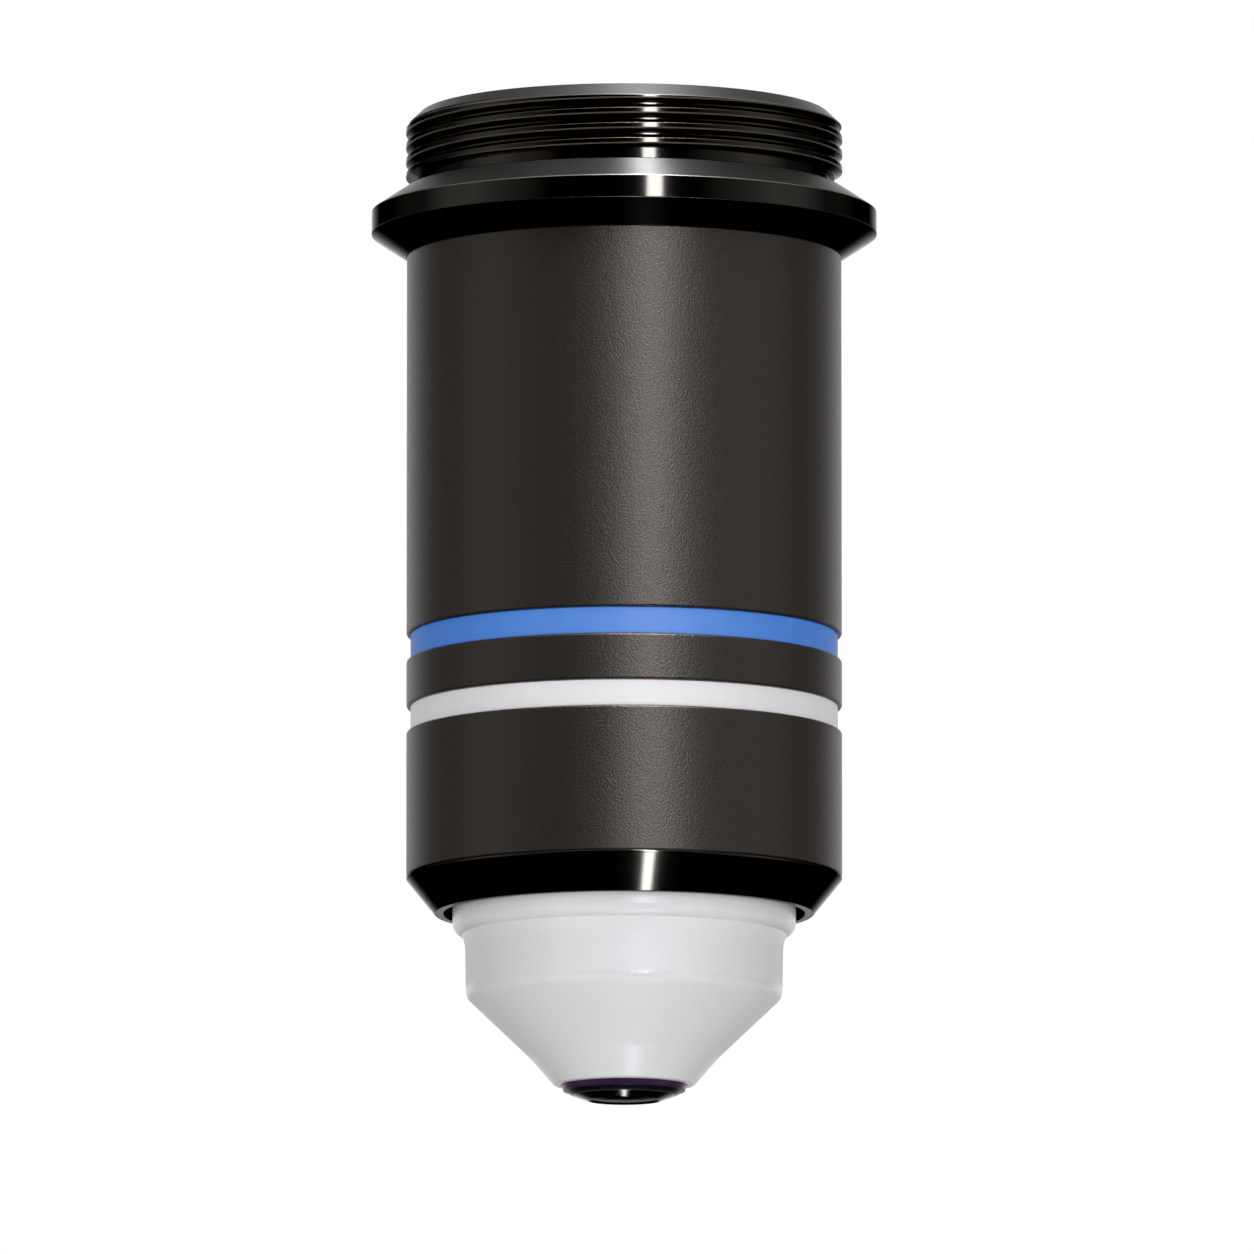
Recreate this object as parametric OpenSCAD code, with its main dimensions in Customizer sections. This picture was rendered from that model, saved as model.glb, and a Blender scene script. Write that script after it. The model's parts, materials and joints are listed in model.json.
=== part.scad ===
// Water-dipping microscope objective with a ceramic tip, in millimetres.
// It is drawn as it hangs in use: thread up, tip down, +Z along the optical axis.
// The origin is the centre of the mounting shoulder.

/* [Mounting thread] */
// Outside diameter of the standard objective thread
thread_d = 20.24; // [20:0.02:20.8]
// Height of the thread's end above the mounting shoulder
thread_h = 3.55; // [3:0.05:6]
// Height of the chamfer at the thread's end
thread_chamfer_h = 0.6; // [0.2:0.05:1]
// Radial width of that chamfer
thread_chamfer_w = 0.64; // [0.2:0.02:0.9]
// Height of the relief groove above the shoulder
relief_h = 0.6; // [0.3:0.05:1]
// Radial depth of the relief groove
relief_depth = 0.54; // [0.2:0.02:0.8]
// Wall between the relief groove and the open recess
thread_wall = 1.28; // [0.8:0.02:1.5]
// Depth of that recess below the mounting shoulder
recess_depth = 1.2; // [0.4:0.1:1.8]

/* [Flange] */
// How far the flange's rim stands out past the barrel, on the radius
flange_reach = 1.64; // [0.8:0.01:3.4]
// How far the mounting shoulder reaches past the thread, on the radius
shoulder_reach = 0.03; // [0:0.01:0.3]
// Height of the flange's upper cone
flange_top_h = 1.03; // [0.5:0.01:2]
// Height of the rim's straight side
rim_h = 1.03; // [0.4:0.01:2.5]
// Height of the flange's lower cone
flange_low_h = 1.06; // [0.5:0.01:2]
// How far the flange's lower edge stands out past the barrel, on the radius
flange_step = 0.03; // [0:0.01:0.3]
// Length of the mount's skirt inside the barrel
skirt_h = 6.5; // [4:0.1:9]
// Wall of that skirt
skirt_wall = 1.04; // [0.8:0.01:1.4]

/* [Barrel] */
// Wall of the barrel
sleeve_wall = 1.07; // [0.7:0.01:1.3]
// Length of the barrel between flange and nose ring
sleeve_len = 28.93; // [27.5:0.01:34]

/* [Colour bands] */
// Distance from the flange down to the blue band's groove
blue_band_drop = 17.68; // [12:0.02:20]
// Width of the blue band's groove
blue_band_w = 1.23; // [0.6:0.01:2]
// Width of the white band's groove
white_band_w = 1.2; // [0.6:0.01:2]
// Plain barrel between the two grooves
band_gap = 2.13; // [1:0.01:4]
// How far the enamel lies below the barrel's surface
band_recess = 0.19; // [0.05:0.01:0.3]
// Thickness of the enamel in its groove
enamel_t = 0.1; // [0.05:0.01:0.2]
// Rounding of the grooves' edges
groove_round = 0.1; // [0.04:0.01:0.15]

/* [Nose ring] */
// Height of the nose ring's straight side under the barrel
nose_land_h = 0.12; // [0.1:0.01:0.4]
// Height of the nose ring's cone
nose_cone_h = 1.61; // [1:0.01:2.4]
// How much that cone narrows, on the radius
nose_taper = 1.31; // [0.8:0.01:1.6]
// Width of the flat lip at the cone's lower end
nose_lip_w = 0.41; // [0.2:0.01:0.5]
// Depth of the dark gap round the cap
nose_gap_depth = 1.88; // [1.4:0.01:2.6]
// Length of the nose ring's spigot inside the barrel
nose_spigot_h = 3.5; // [2.4:0.1:5]

/* [Ceramic cap] */
// How far the cap's bead stands out past the inner barrel, on the radius
cap_bead_reach = 0.03; // [0:0.01:0.1]
// Length of the cap that the nose ring hides
cap_hidden_h = 1.38; // [1:0.01:1.8]
// How far the bead's straight side shows below the nose ring
cap_bead_show = 0.43; // [0.2:0.01:1.2]
// Rounding of the bead's lower edge
cap_bead_round = 0.58; // [0.4:0.01:0.6]
// How far the bead stands out past the cap's straight part, on the radius
cap_bead_step = 0.59; // [0.45:0.01:0.8]
// How much that part narrows towards the shoulder, on the radius
cap_taper = 0.03; // [0:0.01:0.15]
// Wall of the cap round the spigot that carries it
cap_wall = 1.1; // [0.8:0.01:1.4]
// Width of the shallow hollow that runs from the bead's lower edge into the straight part
cap_hollow_w = 0.15; // [0.05:0.01:0.3]
// Height of that hollow
cap_hollow_h = 0.8; // [0.4:0.02:1.2]
// Distance from the nose ring down to the cap's shoulder
cap_shoulder_drop = 3.84; // [3.4:0.02:5]
// Rounding of the shoulder
cap_shoulder_round = 0.6; // [0.3:0.02:1.2]
// Height of the wide cone under the shoulder
cap_cone_h = 2.76; // [2.4:0.01:3.4]
// Height of the steeper end cone
cap_end_h = 1.36; // [1.2:0.02:2]
// How much the end cone narrows, on the radius
cap_end_taper = 1.19; // [1:0.01:1.6]
// Width of the cap's end round its opening
cap_rim_w = 0.32; // [0.2:0.01:0.45]
// Rounding of the cap's end
cap_end_round = 0.25; // [0.05:0.01:0.25]
// Width of the gap between cap and front cell, which the seal fills
mouth_gap = 0.2; // [0.1:0.01:0.3]

/* [Front cell] */
// Outside diameter of the front cell's end
tip_d = 5.42; // [5.3:0.02:5.7]
// Wall of the front cell round the front lens
tip_wall = 0.42; // [0.3:0.01:0.6]
// How far the seal stands out of the cap
seal_show = 0.28; // [0.05:0.01:0.4]
// Length of the seal round the front cell
seal_h = 0.85; // [0.5:0.05:1.2]
// Width of the bevel on the front cell's end
tip_bevel_w = 0.31; // [0.2:0.01:0.5]
// Height of that bevel
tip_bevel_h = 0.19; // [0.05:0.01:0.3]
// Width of the turned-in lip that holds the front lens
tip_lip_w = 0.72; // [0.4:0.01:0.75]
// Height of that lip
tip_lip_h = 0.25; // [0.1:0.01:0.4]
// Width of the countersink inside the lip
tip_sink_w = 0.12; // [0.05:0.01:0.2]
// Depth of that countersink, at whose foot the front lens sits
tip_sink_depth = 0.22; // [0.1:0.01:0.3]
// Height of the front cell between its tip and the inner barrel
front_cell_h = 5.86; // [5.5:0.02:6.4]
// Thickness of the front cell's flange
front_flange_t = 0.25; // [0.15:0.01:0.5]
// Height of the front cell's threaded spigot
front_spigot_h = 1.6; // [1:0.1:2]
// Wall of that spigot
front_spigot_wall = 0.87; // [0.5:0.01:1.2]

/* [Front lenses] */
// Width of the flat rim round the hollow in the front lens
front_rim_w = 0.26; // [0.1:0.01:0.5]
// Depth of that hollow
front_dish_depth = 0.44; // [0.2:0.01:0.7]
// Height of the front lens from its flat rim to the top of its dome
front_lens_h = 2.72; // [2.4:0.02:3.1]
// Height of the dome by itself
front_dome_rise = 1.24; // [0.8:0.01:1.6]
// Height of the meniscus lens's seat above the tip
meniscus_seat_h = 3.36; // [3.1:0.02:3.5]
// How far the meniscus lens reaches past the front lens, on the radius
meniscus_reach = 0.9; // [0.7:0.01:1.1]
// Depth of its hollow lower face
meniscus_hollow_depth = 0.52; // [0.2:0.01:0.8]
// Height of its bulging upper face
meniscus_rise = 1.16; // [0.8:0.01:1.4]
// Thickness of its edge
meniscus_edge_t = 0.9; // [0.6:0.02:1.2]
// Height of the ring that holds the meniscus lens
meniscus_ring_h = 0.78; // [0.5:0.02:1]
// How far that ring reaches past the lens, on the radius
meniscus_ring_reach = 0.4; // [0.2:0.02:0.6]
// Height of the meniscus lens's seat above the foot of the front cell's cone
cone_reach = 0.94; // [0.7:0.02:1.2]

/* [Inner barrel] */
// Outside diameter of the inner barrel
tube_d = 15.8; // [14.4:0.1:17.6]
// Wall of the inner barrel
tube_wall = 1.4; // [1.2:0.02:1.6]
// Depth of the inner barrel's rear end below the mounting shoulder
tube_drop = 2; // [1.9:0.05:3]
// Wall of the spigot that carries the ceramic cap
tube_spigot_wall = 0.95; // [0.7:0.01:1.1]
// Thickness of the floor between the cap's seat and the lens stack
tube_floor = 0.8; // [0.5:0.05:1.4]
// Height of the ring that locks the inner barrel to the mount
lock_ring_h = 1.8; // [1:0.1:3]
// Radial width of that lock ring
lock_ring_w = 0.9; // [0.6:0.02:1]
// Thickness of the sealing ring's cord
oring_cord = 0.48; // [0.3:0.02:0.6]

/* [Lens cells] */
// Thickness of the ledge that each lens rests on
ledge_t = 0.5; // [0.4:0.02:0.7]
// Radial width of that ledge
ledge_w = 0.35; // [0.2:0.01:0.5]
// Height of the doublet's cell
doublet_cell_h = 4.2; // [4.1:0.05:5]
// Height of the spacer over the doublet's cell
front_spacer_h = 1.4; // [0.6:0.05:2.4]
// How far the triplet's cell reaches past its lenses
triplet_cover = 0.36; // [0.1:0.02:0.9]
// Height of the middle pair's cell
middle_cell_h = 4.2; // [4.1:0.05:5]
// Height of the cell under the two facing hollows
lower_rear_cell_h = 4.3; // [4.2:0.05:5]
// Height of the cell over them
upper_rear_cell_h = 4; // [3.9:0.05:4.8]
// Wall of the single lens's cell
single_wall = 0.75; // [0.5:0.01:1]
// Wall of the doublet's cell
doublet_wall = 1.15; // [0.7:0.01:1.6]
// Wall of the triplet's cell
triplet_wall = 1.08; // [0.7:0.01:1.5]
// Wall of the middle pair's cell
middle_wall = 1.65; // [1.2:0.01:2]
// Wall of the two rear cells
rear_wall = 2.25; // [1.9:0.01:2.5]
// Radial play of the triplet's cell, taken up by its centring screws
centring_play = 0.3; // [0.1:0.02:0.5]
// Diameter of the centring screws
centring_screw_d = 1.6; // [1:0.1:2]
// Number of centring screws
centring_screws_n = 3; // [3:1:6]
// Radial width of the spacers
spacer_w = 0.95; // [0.5:0.05:1.3]
// How far the rear stop covers the lens behind it, on the radius
stop_cover = 0.6; // [0.4:0.05:1.2]
// Thickness of the rear stop
stop_t = 0.5; // [0.2:0.05:0.8]
// Height of the rear retaining ring
retainer_h = 2; // [1.4:0.1:2.4]
// Radial width of the rear retaining ring
retainer_w = 1.87; // [1.2:0.01:2.4]
// Width of the spanner slots
slot_w = 1; // [0.6:0.05:1.4]
// Depth of the spanner slots
slot_depth = 0.7; // [0.4:0.05:1]

/* [Lenses] */
// Height of the single lens's bulging upper face
single_rise = 1.43; // [0.8:0.01:1.6]
// Thickness of its edge
single_edge_t = 0.7; // [0.4:0.02:1]
// Height of the doublet's bulging lower face
doublet_low_rise = 0.65; // [0.4:0.01:0.8]
// Height of the bulge at the doublet's cemented faces
doublet_joint_rise = 1.85; // [1.2:0.01:2]
// Thickness of the doublet's crown lens on the axis
doublet_crown_t = 3.2; // [3:0.02:3.3]
// Thickness of the doublet's flint lens on the axis
doublet_flint_t = 0.9; // [0.6:0.02:1]
// Height of the bulge at the triplet's lower cemented faces
triplet_low_rise = 1.48; // [1:0.01:1.5]
// Height of the bulge at the triplet's upper cemented faces
triplet_high_rise = 1.4; // [1:0.01:1.5]
// Thickness of the triplet's crown lens on the axis
triplet_crown_t = 3.4; // [3.3:0.02:3.5]
// Thickness of each of the triplet's flint lenses on the axis
triplet_flint_t = 0.85; // [0.6:0.01:0.88]
// Height of the middle pair's bulging lower face
middle_low_rise = 0.74; // [0.4:0.01:0.8]
// Height of the bulge at the middle pair's cemented faces
middle_joint_rise = 1.23; // [0.8:0.01:1.3]
// Depth of the middle pair's hollow upper face
middle_hollow_depth = 0.5; // [0.2:0.01:0.6]
// Thickness of the middle pair's crown lens on the axis
middle_crown_t = 2.6; // [2.4:0.02:2.7]
// Thickness of the middle pair's flint lens on the axis
middle_flint_t = 0.8; // [0.5:0.02:0.85]
// Height of the lower rear pair's bulging lower face
lower_rear_rise = 1.04; // [0.6:0.01:1.1]
// Height of the bulge at the lower rear pair's cemented faces
lower_rear_joint_rise = 0.76; // [0.5:0.01:0.8]
// Depth of the lower rear pair's hollow
lower_hollow_depth = 1.06; // [0.7:0.01:1.2]
// Thickness of the lower rear pair's crown lens on the axis
lower_rear_crown_t = 2.4; // [2.2:0.02:2.5]
// Thickness of the lower rear pair's flint lens on the axis
lower_rear_flint_t = 0.9; // [0.6:0.02:0.95]
// Depth of the upper rear pair's hollow
upper_hollow_depth = 1; // [0.7:0.01:1.1]
// Height of the bulge at the upper rear pair's cemented faces
upper_rear_joint_rise = 0.64; // [0.4:0.01:0.7]
// Height of the upper rear pair's bulging upper face
upper_rear_rise = 0.76; // [0.5:0.01:0.9]
// Thickness of the upper rear pair's flint lens on the axis
upper_rear_flint_t = 0.9; // [0.6:0.02:1]
// Thickness of the upper rear pair's crown lens on the axis
upper_rear_crown_t = 1.9; // [1.8:0.02:2]
// Width of the flat rim round each of the two hollows that face each other
hollow_rim_w = 0.95; // [0.6:0.01:1.2]

/* [Fits] */
// Radial clearance of parts that screw or slide into each other
fit_gap = 0.03; // [0.01:0.01:0.06]
// Radial clearance round a lens in its cell
lens_gap = 0.02; // [0.01:0.01:0.04]
// Thickness of the cement between two lenses
cement_t = 0.02; // [0.01:0.01:0.04]
// Thickness of the glue between cap and metal
glue_t = 0.06; // [0.03:0.01:0.1]

/* [Hidden] */
$fn = 96;

// Steps in each rounded edge of a turned profile
round_steps = 6;
// Small chamfer that takes the sharpness off a turned edge
edge_break = 0.08;
// Extra length that carries a cut past the surface it opens
past = 0.2;
colour_black = [0.05, 0.05, 0.055];
colour_barrel = [0.24, 0.225, 0.21];
colour_metal = [0.35, 0.35, 0.36];
colour_brass = [0.62, 0.52, 0.3];
colour_glass = [0.72, 0.84, 0.88, 0.6];
colour_rubber = [0.1, 0.1, 0.1];

// Radii of mount, flange and barrel, outwards from the inner barrel
thread_r = thread_d / 2;
relief_r = thread_r - relief_depth;
recess_r = relief_r - thread_wall;
shoulder_r = thread_r + shoulder_reach;
tube_r = tube_d / 2;
skirt_bore_r = tube_r + fit_gap;
skirt_r = skirt_bore_r + skirt_wall;
sleeve_bore_r = skirt_r + fit_gap;
sleeve_r = sleeve_bore_r + sleeve_wall;
groove_r = sleeve_r - band_recess - enamel_t;
flange_r = sleeve_r + flange_reach;
nose_lip_r = sleeve_r - nose_taper;
nose_bore_r = nose_lip_r - nose_lip_w;

// Radii of the tip and of the cap, whose end follows the tip and whose bead follows the inner barrel
tip_r = tip_d / 2;
window_r = tip_r - tip_bevel_w - tip_lip_w;
throat_r = window_r - tip_sink_w;
cap_mouth_r = tip_r + mouth_gap;
cap_end_r = cap_mouth_r + cap_rim_w;
cap_kink_r = cap_end_r + cap_end_taper;
cap_bead_r = tube_r + cap_bead_reach;
cap_top_r = cap_bead_r - cap_bead_step;
cap_low_r = cap_top_r - cap_taper;
cap_bore_r = cap_low_r - cap_wall;

// Radii of inner barrel, cells and lenses, from the outside inwards
tube_bore_r = tube_r - tube_wall;
tube_spigot_r = cap_bore_r - glue_t;
tube_throat_r = tube_spigot_r - tube_spigot_wall;
cell_r = tube_bore_r - fit_gap;
small_cell_r = tube_throat_r - fit_gap;
triplet_cell_r = tube_bore_r - centring_play;
single_r = small_cell_r - single_wall - lens_gap;
doublet_r = cell_r - doublet_wall - lens_gap;
triplet_r = triplet_cell_r - triplet_wall - lens_gap;
middle_r = cell_r - middle_wall - lens_gap;
middle_land_r = middle_r - ledge_w;
rear_r = cell_r - rear_wall - lens_gap;
hollow_r = rear_r - hollow_rim_w;
front_lens_r = tip_r - tip_wall - lens_gap;
front_dish_r = throat_r - front_rim_w;
meniscus_r = front_lens_r + meniscus_reach;
meniscus_land_r = meniscus_r - ledge_w;

// Heights of the outside, downwards from the mounting shoulder
rim_top_z = -flange_top_h;
rim_low_z = rim_top_z - rim_h;
sleeve_top_z = rim_low_z - flange_low_h;
skirt_low_z = sleeve_top_z - skirt_h;
blue_band_z = sleeve_top_z - blue_band_drop - blue_band_w;
white_band_z = blue_band_z - band_gap - white_band_w;
sleeve_low_z = sleeve_top_z - sleeve_len;
lip_z = sleeve_low_z - nose_land_h - nose_cone_h;
cap_seat_z = lip_z + cap_hidden_h;
gap_floor_z = lip_z + nose_gap_depth;
nose_spigot_top_z = sleeve_low_z + nose_spigot_h;
bead_low_z = lip_z - cap_bead_show;
cap_shoulder_z = lip_z - cap_shoulder_drop;
cap_kink_z = cap_shoulder_z - cap_cone_h;
cap_end_z = cap_kink_z - cap_end_h;

// Heights of the front cell, upwards from the tip
seal_low_z = cap_end_z - seal_show;
bevel_low_z = seal_low_z - tip_bevel_h;
tip_z = bevel_low_z - tip_lip_h;
tube_end_z = tip_z + front_cell_h;
meniscus_seat_z = tip_z + meniscus_seat_h;
cell_cone_top_z = tube_end_z - front_flange_t;
cell_cone_low_z = meniscus_seat_z - cone_reach;
front_cell_top_z = tube_end_z + front_spigot_h;

// Heights of the lens stack, upwards from its seat in the inner barrel
triplet_cell_h = ledge_t + 2 * triplet_flint_t + triplet_crown_t + 2 * cement_t + triplet_cover;
tube_top_z = -tube_drop;
stack_z = cap_seat_z + tube_floor;
front_spacer_z = stack_z + doublet_cell_h;
triplet_z = front_spacer_z + front_spacer_h;
middle_z = triplet_z + triplet_cell_h;
rear_spacer_z = middle_z + middle_cell_h;
retainer_z = tube_top_z - retainer_h - edge_break;
stop_z = retainer_z - stop_t;
upper_rear_z = stop_z - upper_rear_cell_h;
lower_rear_z = upper_rear_z - lower_rear_cell_h;

// Height of a spherical cap with this radius of curvature and this rim radius
function sag(curve, rim_r) = curve - sqrt(curve * curve - rim_r * rim_r);

// Radius of curvature of a spherical cap with this height and this rim radius
function curve_of(rise, rim_r) = (rim_r * rim_r + rise * rise) / (2 * rise);

// Radii of curvature of the lens faces
front_dish_curve = curve_of(front_dish_depth, front_dish_r);
front_dome_curve = curve_of(front_dome_rise, front_lens_r);
meniscus_low_curve = curve_of(meniscus_hollow_depth, meniscus_land_r);
meniscus_high_curve = curve_of(meniscus_rise, meniscus_r);
single_curve = curve_of(single_rise, single_r);
doublet_low_curve = curve_of(doublet_low_rise, doublet_r);
doublet_joint_curve = curve_of(doublet_joint_rise, doublet_r);
triplet_low_curve = curve_of(triplet_low_rise, triplet_r);
triplet_high_curve = curve_of(triplet_high_rise, triplet_r);
middle_low_curve = curve_of(middle_low_rise, middle_r);
middle_joint_curve = curve_of(middle_joint_rise, middle_r);
middle_high_curve = curve_of(middle_hollow_depth, middle_land_r);
lower_rear_curve = curve_of(lower_rear_rise, rear_r);
lower_rear_joint_curve = curve_of(lower_rear_joint_rise, rear_r);
lower_hollow_curve = curve_of(lower_hollow_depth, hollow_r);
upper_hollow_curve = curve_of(upper_hollow_depth, hollow_r);
upper_rear_joint_curve = curve_of(upper_rear_joint_rise, rear_r);
upper_rear_curve = curve_of(upper_rear_rise, rear_r);

// Points along a round edge, from one angle to the other
function arc(centre, r, from, to) =
    [for (i = [0:round_steps]) centre + r * [cos(from + (to - from) * i / round_steps),
        sin(from + (to - from) * i / round_steps)]];

// The same points without the first, where another edge already ends
function after_first(points) = [for (i = [1:len(points) - 1]) points[i]];

// Outline of a groove in the barrel with rounded edges, from its upper edge to its lower one
function groove(top_z, low_z) = concat(
    arc([sleeve_r - groove_round, top_z + groove_round], groove_round, 0, -90),
    [[groove_r, top_z], [groove_r, low_z]],
    arc([sleeve_r - groove_round, low_z - groove_round], groove_round, 90, 0));

// A piece turned from its half section
module turned(outline) {
    rotate_extrude() polygon(outline);
}

// A plain turned ring
module ring(low_z, high_z, inner_r, outer_r) {
    turned([[inner_r, low_z], [outer_r, low_z], [outer_r, high_z], [inner_r, high_z]]);
}

// A turned cell with a ledge at its lower end, on which its lens rests
module cell(low_z, high_z, outer_r, lens_r) {
    color(colour_brass) turned([
        [lens_r - ledge_w, low_z],
        [outer_r - edge_break, low_z],
        [outer_r, low_z + edge_break],
        [outer_r, high_z - edge_break],
        [outer_r - edge_break, high_z],
        [lens_r + lens_gap, high_z],
        [lens_r + lens_gap, low_z + ledge_t],
        [lens_r - ledge_w, low_z + ledge_t]]);
}

// How far a lens's edge reaches beyond the middle of a face, where the face is hollow.
// A bulging face is cut from a blank that is a little longer.
function edge_reach(curve, edge_r, land_r) =
    curve == 0 ? 0
    : curve > 0 ? past
    : land_r > 0 ? sag(-curve, land_r) : sag(-curve, edge_r) + past;

// A lens, given the height of each face on the axis and its radius of curvature.
// That radius is positive where the face bulges, negative where it is hollow and 0 where it is flat.
// A hollow with a land has a flat rim round it, and the land is the radius where it starts.
module lens(edge_r, low_z, low_curve, high_z, high_curve, low_land = 0, high_land = 0) {
    blank_low_z = low_z - edge_reach(low_curve, edge_r, low_land);
    blank_high_z = high_z + edge_reach(high_curve, edge_r, high_land);
    color(colour_glass) difference() {
        intersection() {
            translate([0, 0, blank_low_z]) cylinder(h = blank_high_z - blank_low_z, r = edge_r);
            if (low_curve > 0) translate([0, 0, low_z + low_curve]) sphere(low_curve);
            if (high_curve > 0) translate([0, 0, high_z - high_curve]) sphere(high_curve);
        }
        if (low_curve < 0) translate([0, 0, low_z + low_curve]) sphere(-low_curve);
        if (high_curve < 0) translate([0, 0, high_z - high_curve]) sphere(-high_curve);
    }
}

// A straight bar across a ring, which cuts two spanner slots
module slot_bar(low_z, high_z, reach_r) {
    translate([-reach_r, -slot_w / 2, low_z]) cube([2 * reach_r, slot_w, high_z - low_z]);
}

// Mount with its thread, relief, flange and the skirt that carries barrel and lens tube
module mount_body() {
    color(colour_black) turned([
        [recess_r, thread_h],
        [thread_r - thread_chamfer_w, thread_h],
        [thread_r, thread_h - thread_chamfer_h],
        [thread_r, relief_h],
        [relief_r, relief_h],
        [relief_r, 0],
        [shoulder_r, 0],
        [flange_r - edge_break, rim_top_z],
        [flange_r, rim_top_z - edge_break],
        [flange_r, rim_low_z + edge_break],
        [flange_r - edge_break, rim_low_z],
        [sleeve_r + flange_step, sleeve_top_z],
        [skirt_r, sleeve_top_z],
        [skirt_r, skirt_low_z],
        [skirt_bore_r, skirt_low_z],
        [skirt_bore_r, -recess_depth],
        [recess_r, -recess_depth]]);
}

// Outer barrel with its two grooves
module outer_sleeve() {
    color(colour_barrel) turned(concat(
        [[sleeve_bore_r, sleeve_top_z],
        [sleeve_r - edge_break, sleeve_top_z],
        [sleeve_r, sleeve_top_z - edge_break]],
        groove(blue_band_z + blue_band_w, blue_band_z),
        groove(white_band_z + white_band_w, white_band_z),
        [[sleeve_r, sleeve_low_z + edge_break],
        [sleeve_r - edge_break, sleeve_low_z],
        [sleeve_bore_r, sleeve_low_z]]));
}

// Blue enamel in the upper groove
module blue_band() {
    color([0.31, 0.54, 0.85]) ring(blue_band_z, blue_band_z + blue_band_w, groove_r, groove_r + enamel_t);
}

// White enamel in the lower groove
module white_band() {
    color([0.9, 0.9, 0.91]) ring(white_band_z, white_band_z + white_band_w, groove_r, groove_r + enamel_t);
}

// Height and radius of the sealing ring's groove inside the nose ring
oring_z = (gap_floor_z + nose_spigot_top_z) / 2;
oring_groove_r = tube_r + oring_cord + lens_gap;

// Conical ring that closes the barrel round the cap
module nose_ring() {
    color(colour_black) difference() {
        turned([
            [skirt_bore_r, nose_spigot_top_z],
            [skirt_r - edge_break, nose_spigot_top_z],
            [skirt_r, nose_spigot_top_z - edge_break],
            [skirt_r, sleeve_low_z],
            [sleeve_r - edge_break, sleeve_low_z],
            [sleeve_r, sleeve_low_z - edge_break],
            [sleeve_r, sleeve_low_z - nose_land_h],
            [nose_lip_r, lip_z],
            [nose_bore_r, lip_z],
            [nose_bore_r, gap_floor_z],
            [skirt_bore_r, gap_floor_z]]);
        ring(oring_z - oring_cord, oring_z + oring_cord, tube_r - past, oring_groove_r);
    }
}

// Rubber ring that seals the gap between nose ring and inner barrel
module nose_oring() {
    color(colour_rubber) rotate_extrude()
        translate([(tube_r + oring_groove_r) / 2, oring_z]) circle(oring_cord / 2);
}

// White ceramic cap with its bead, straight part, rounded shoulder and two cones
module nose_cap() {
    // The bead's rounding ends in a corner, where the shallow hollow starts
    bead_centre = [cap_bead_r - cap_bead_round, bead_low_z];
    bead_turn = acos((cap_top_r + cap_hollow_w - bead_centre[0]) / cap_bead_round);
    hollow_curve = curve_of(cap_hollow_w, cap_hollow_h);
    hollow_turn = asin(cap_hollow_h / hollow_curve);
    hollow_centre = [cap_top_r + hollow_curve,
        bead_low_z - cap_bead_round * sin(bead_turn) - cap_hollow_h];
    // Each rounding turns from one cone's slope to the next
    cone_lean = atan2(cap_low_r - cap_kink_r, cap_cone_h);
    end_lean = atan2(cap_kink_r - cap_end_r, cap_end_h);
    shoulder_centre = [cap_low_r - cap_shoulder_round,
        cap_shoulder_z + cap_shoulder_round * tan(cone_lean / 2)];
    end_centre = [cap_end_r - cap_end_round * tan((90 - end_lean) / 2), cap_end_z + cap_end_round];
    color([0.9, 0.9, 0.9]) turned(concat(
        [[cap_bore_r, cap_seat_z],
        [cap_bead_r - edge_break, cap_seat_z],
        [cap_bead_r, cap_seat_z - edge_break]],
        arc(bead_centre, cap_bead_round, 0, -bead_turn),
        after_first(arc(hollow_centre, hollow_curve, 180 - hollow_turn, 180)),
        arc(shoulder_centre, cap_shoulder_round, 0, -cone_lean),
        [[cap_kink_r, cap_kink_z]],
        arc(end_centre, cap_end_round, -end_lean, -90),
        [[cap_mouth_r, cap_end_z],
        [cap_mouth_r, cell_cone_low_z],
        [cap_bore_r, cell_cone_top_z]]));
}

// Dark purple seal between the cap's mouth and the front cell
module front_seal() {
    inner_r = tip_r + lens_gap;
    outer_r = cap_mouth_r - lens_gap;
    color([0.21, 0.08, 0.22]) turned([
        [inner_r, seal_low_z],
        [(inner_r + outer_r) / 2, seal_low_z],
        [outer_r, cap_end_z],
        [outer_r, seal_low_z + seal_h],
        [inner_r, seal_low_z + seal_h]]);
}

// Heights in the front cell, worked out from the faces of its two lenses
front_face_z = tip_z + tip_sink_depth + lens_gap;
dish_z = front_face_z + front_dish_depth;
dome_z = front_face_z + front_lens_h;
meniscus_edge_top_z = meniscus_seat_z + meniscus_edge_t;
meniscus_low_z = meniscus_seat_z + meniscus_hollow_depth;
meniscus_high_z = meniscus_edge_top_z + meniscus_rise;
meniscus_ring_z = meniscus_high_z - sag(meniscus_high_curve, meniscus_land_r) + lens_gap;
meniscus_ring_r = meniscus_r + meniscus_ring_reach;

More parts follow.
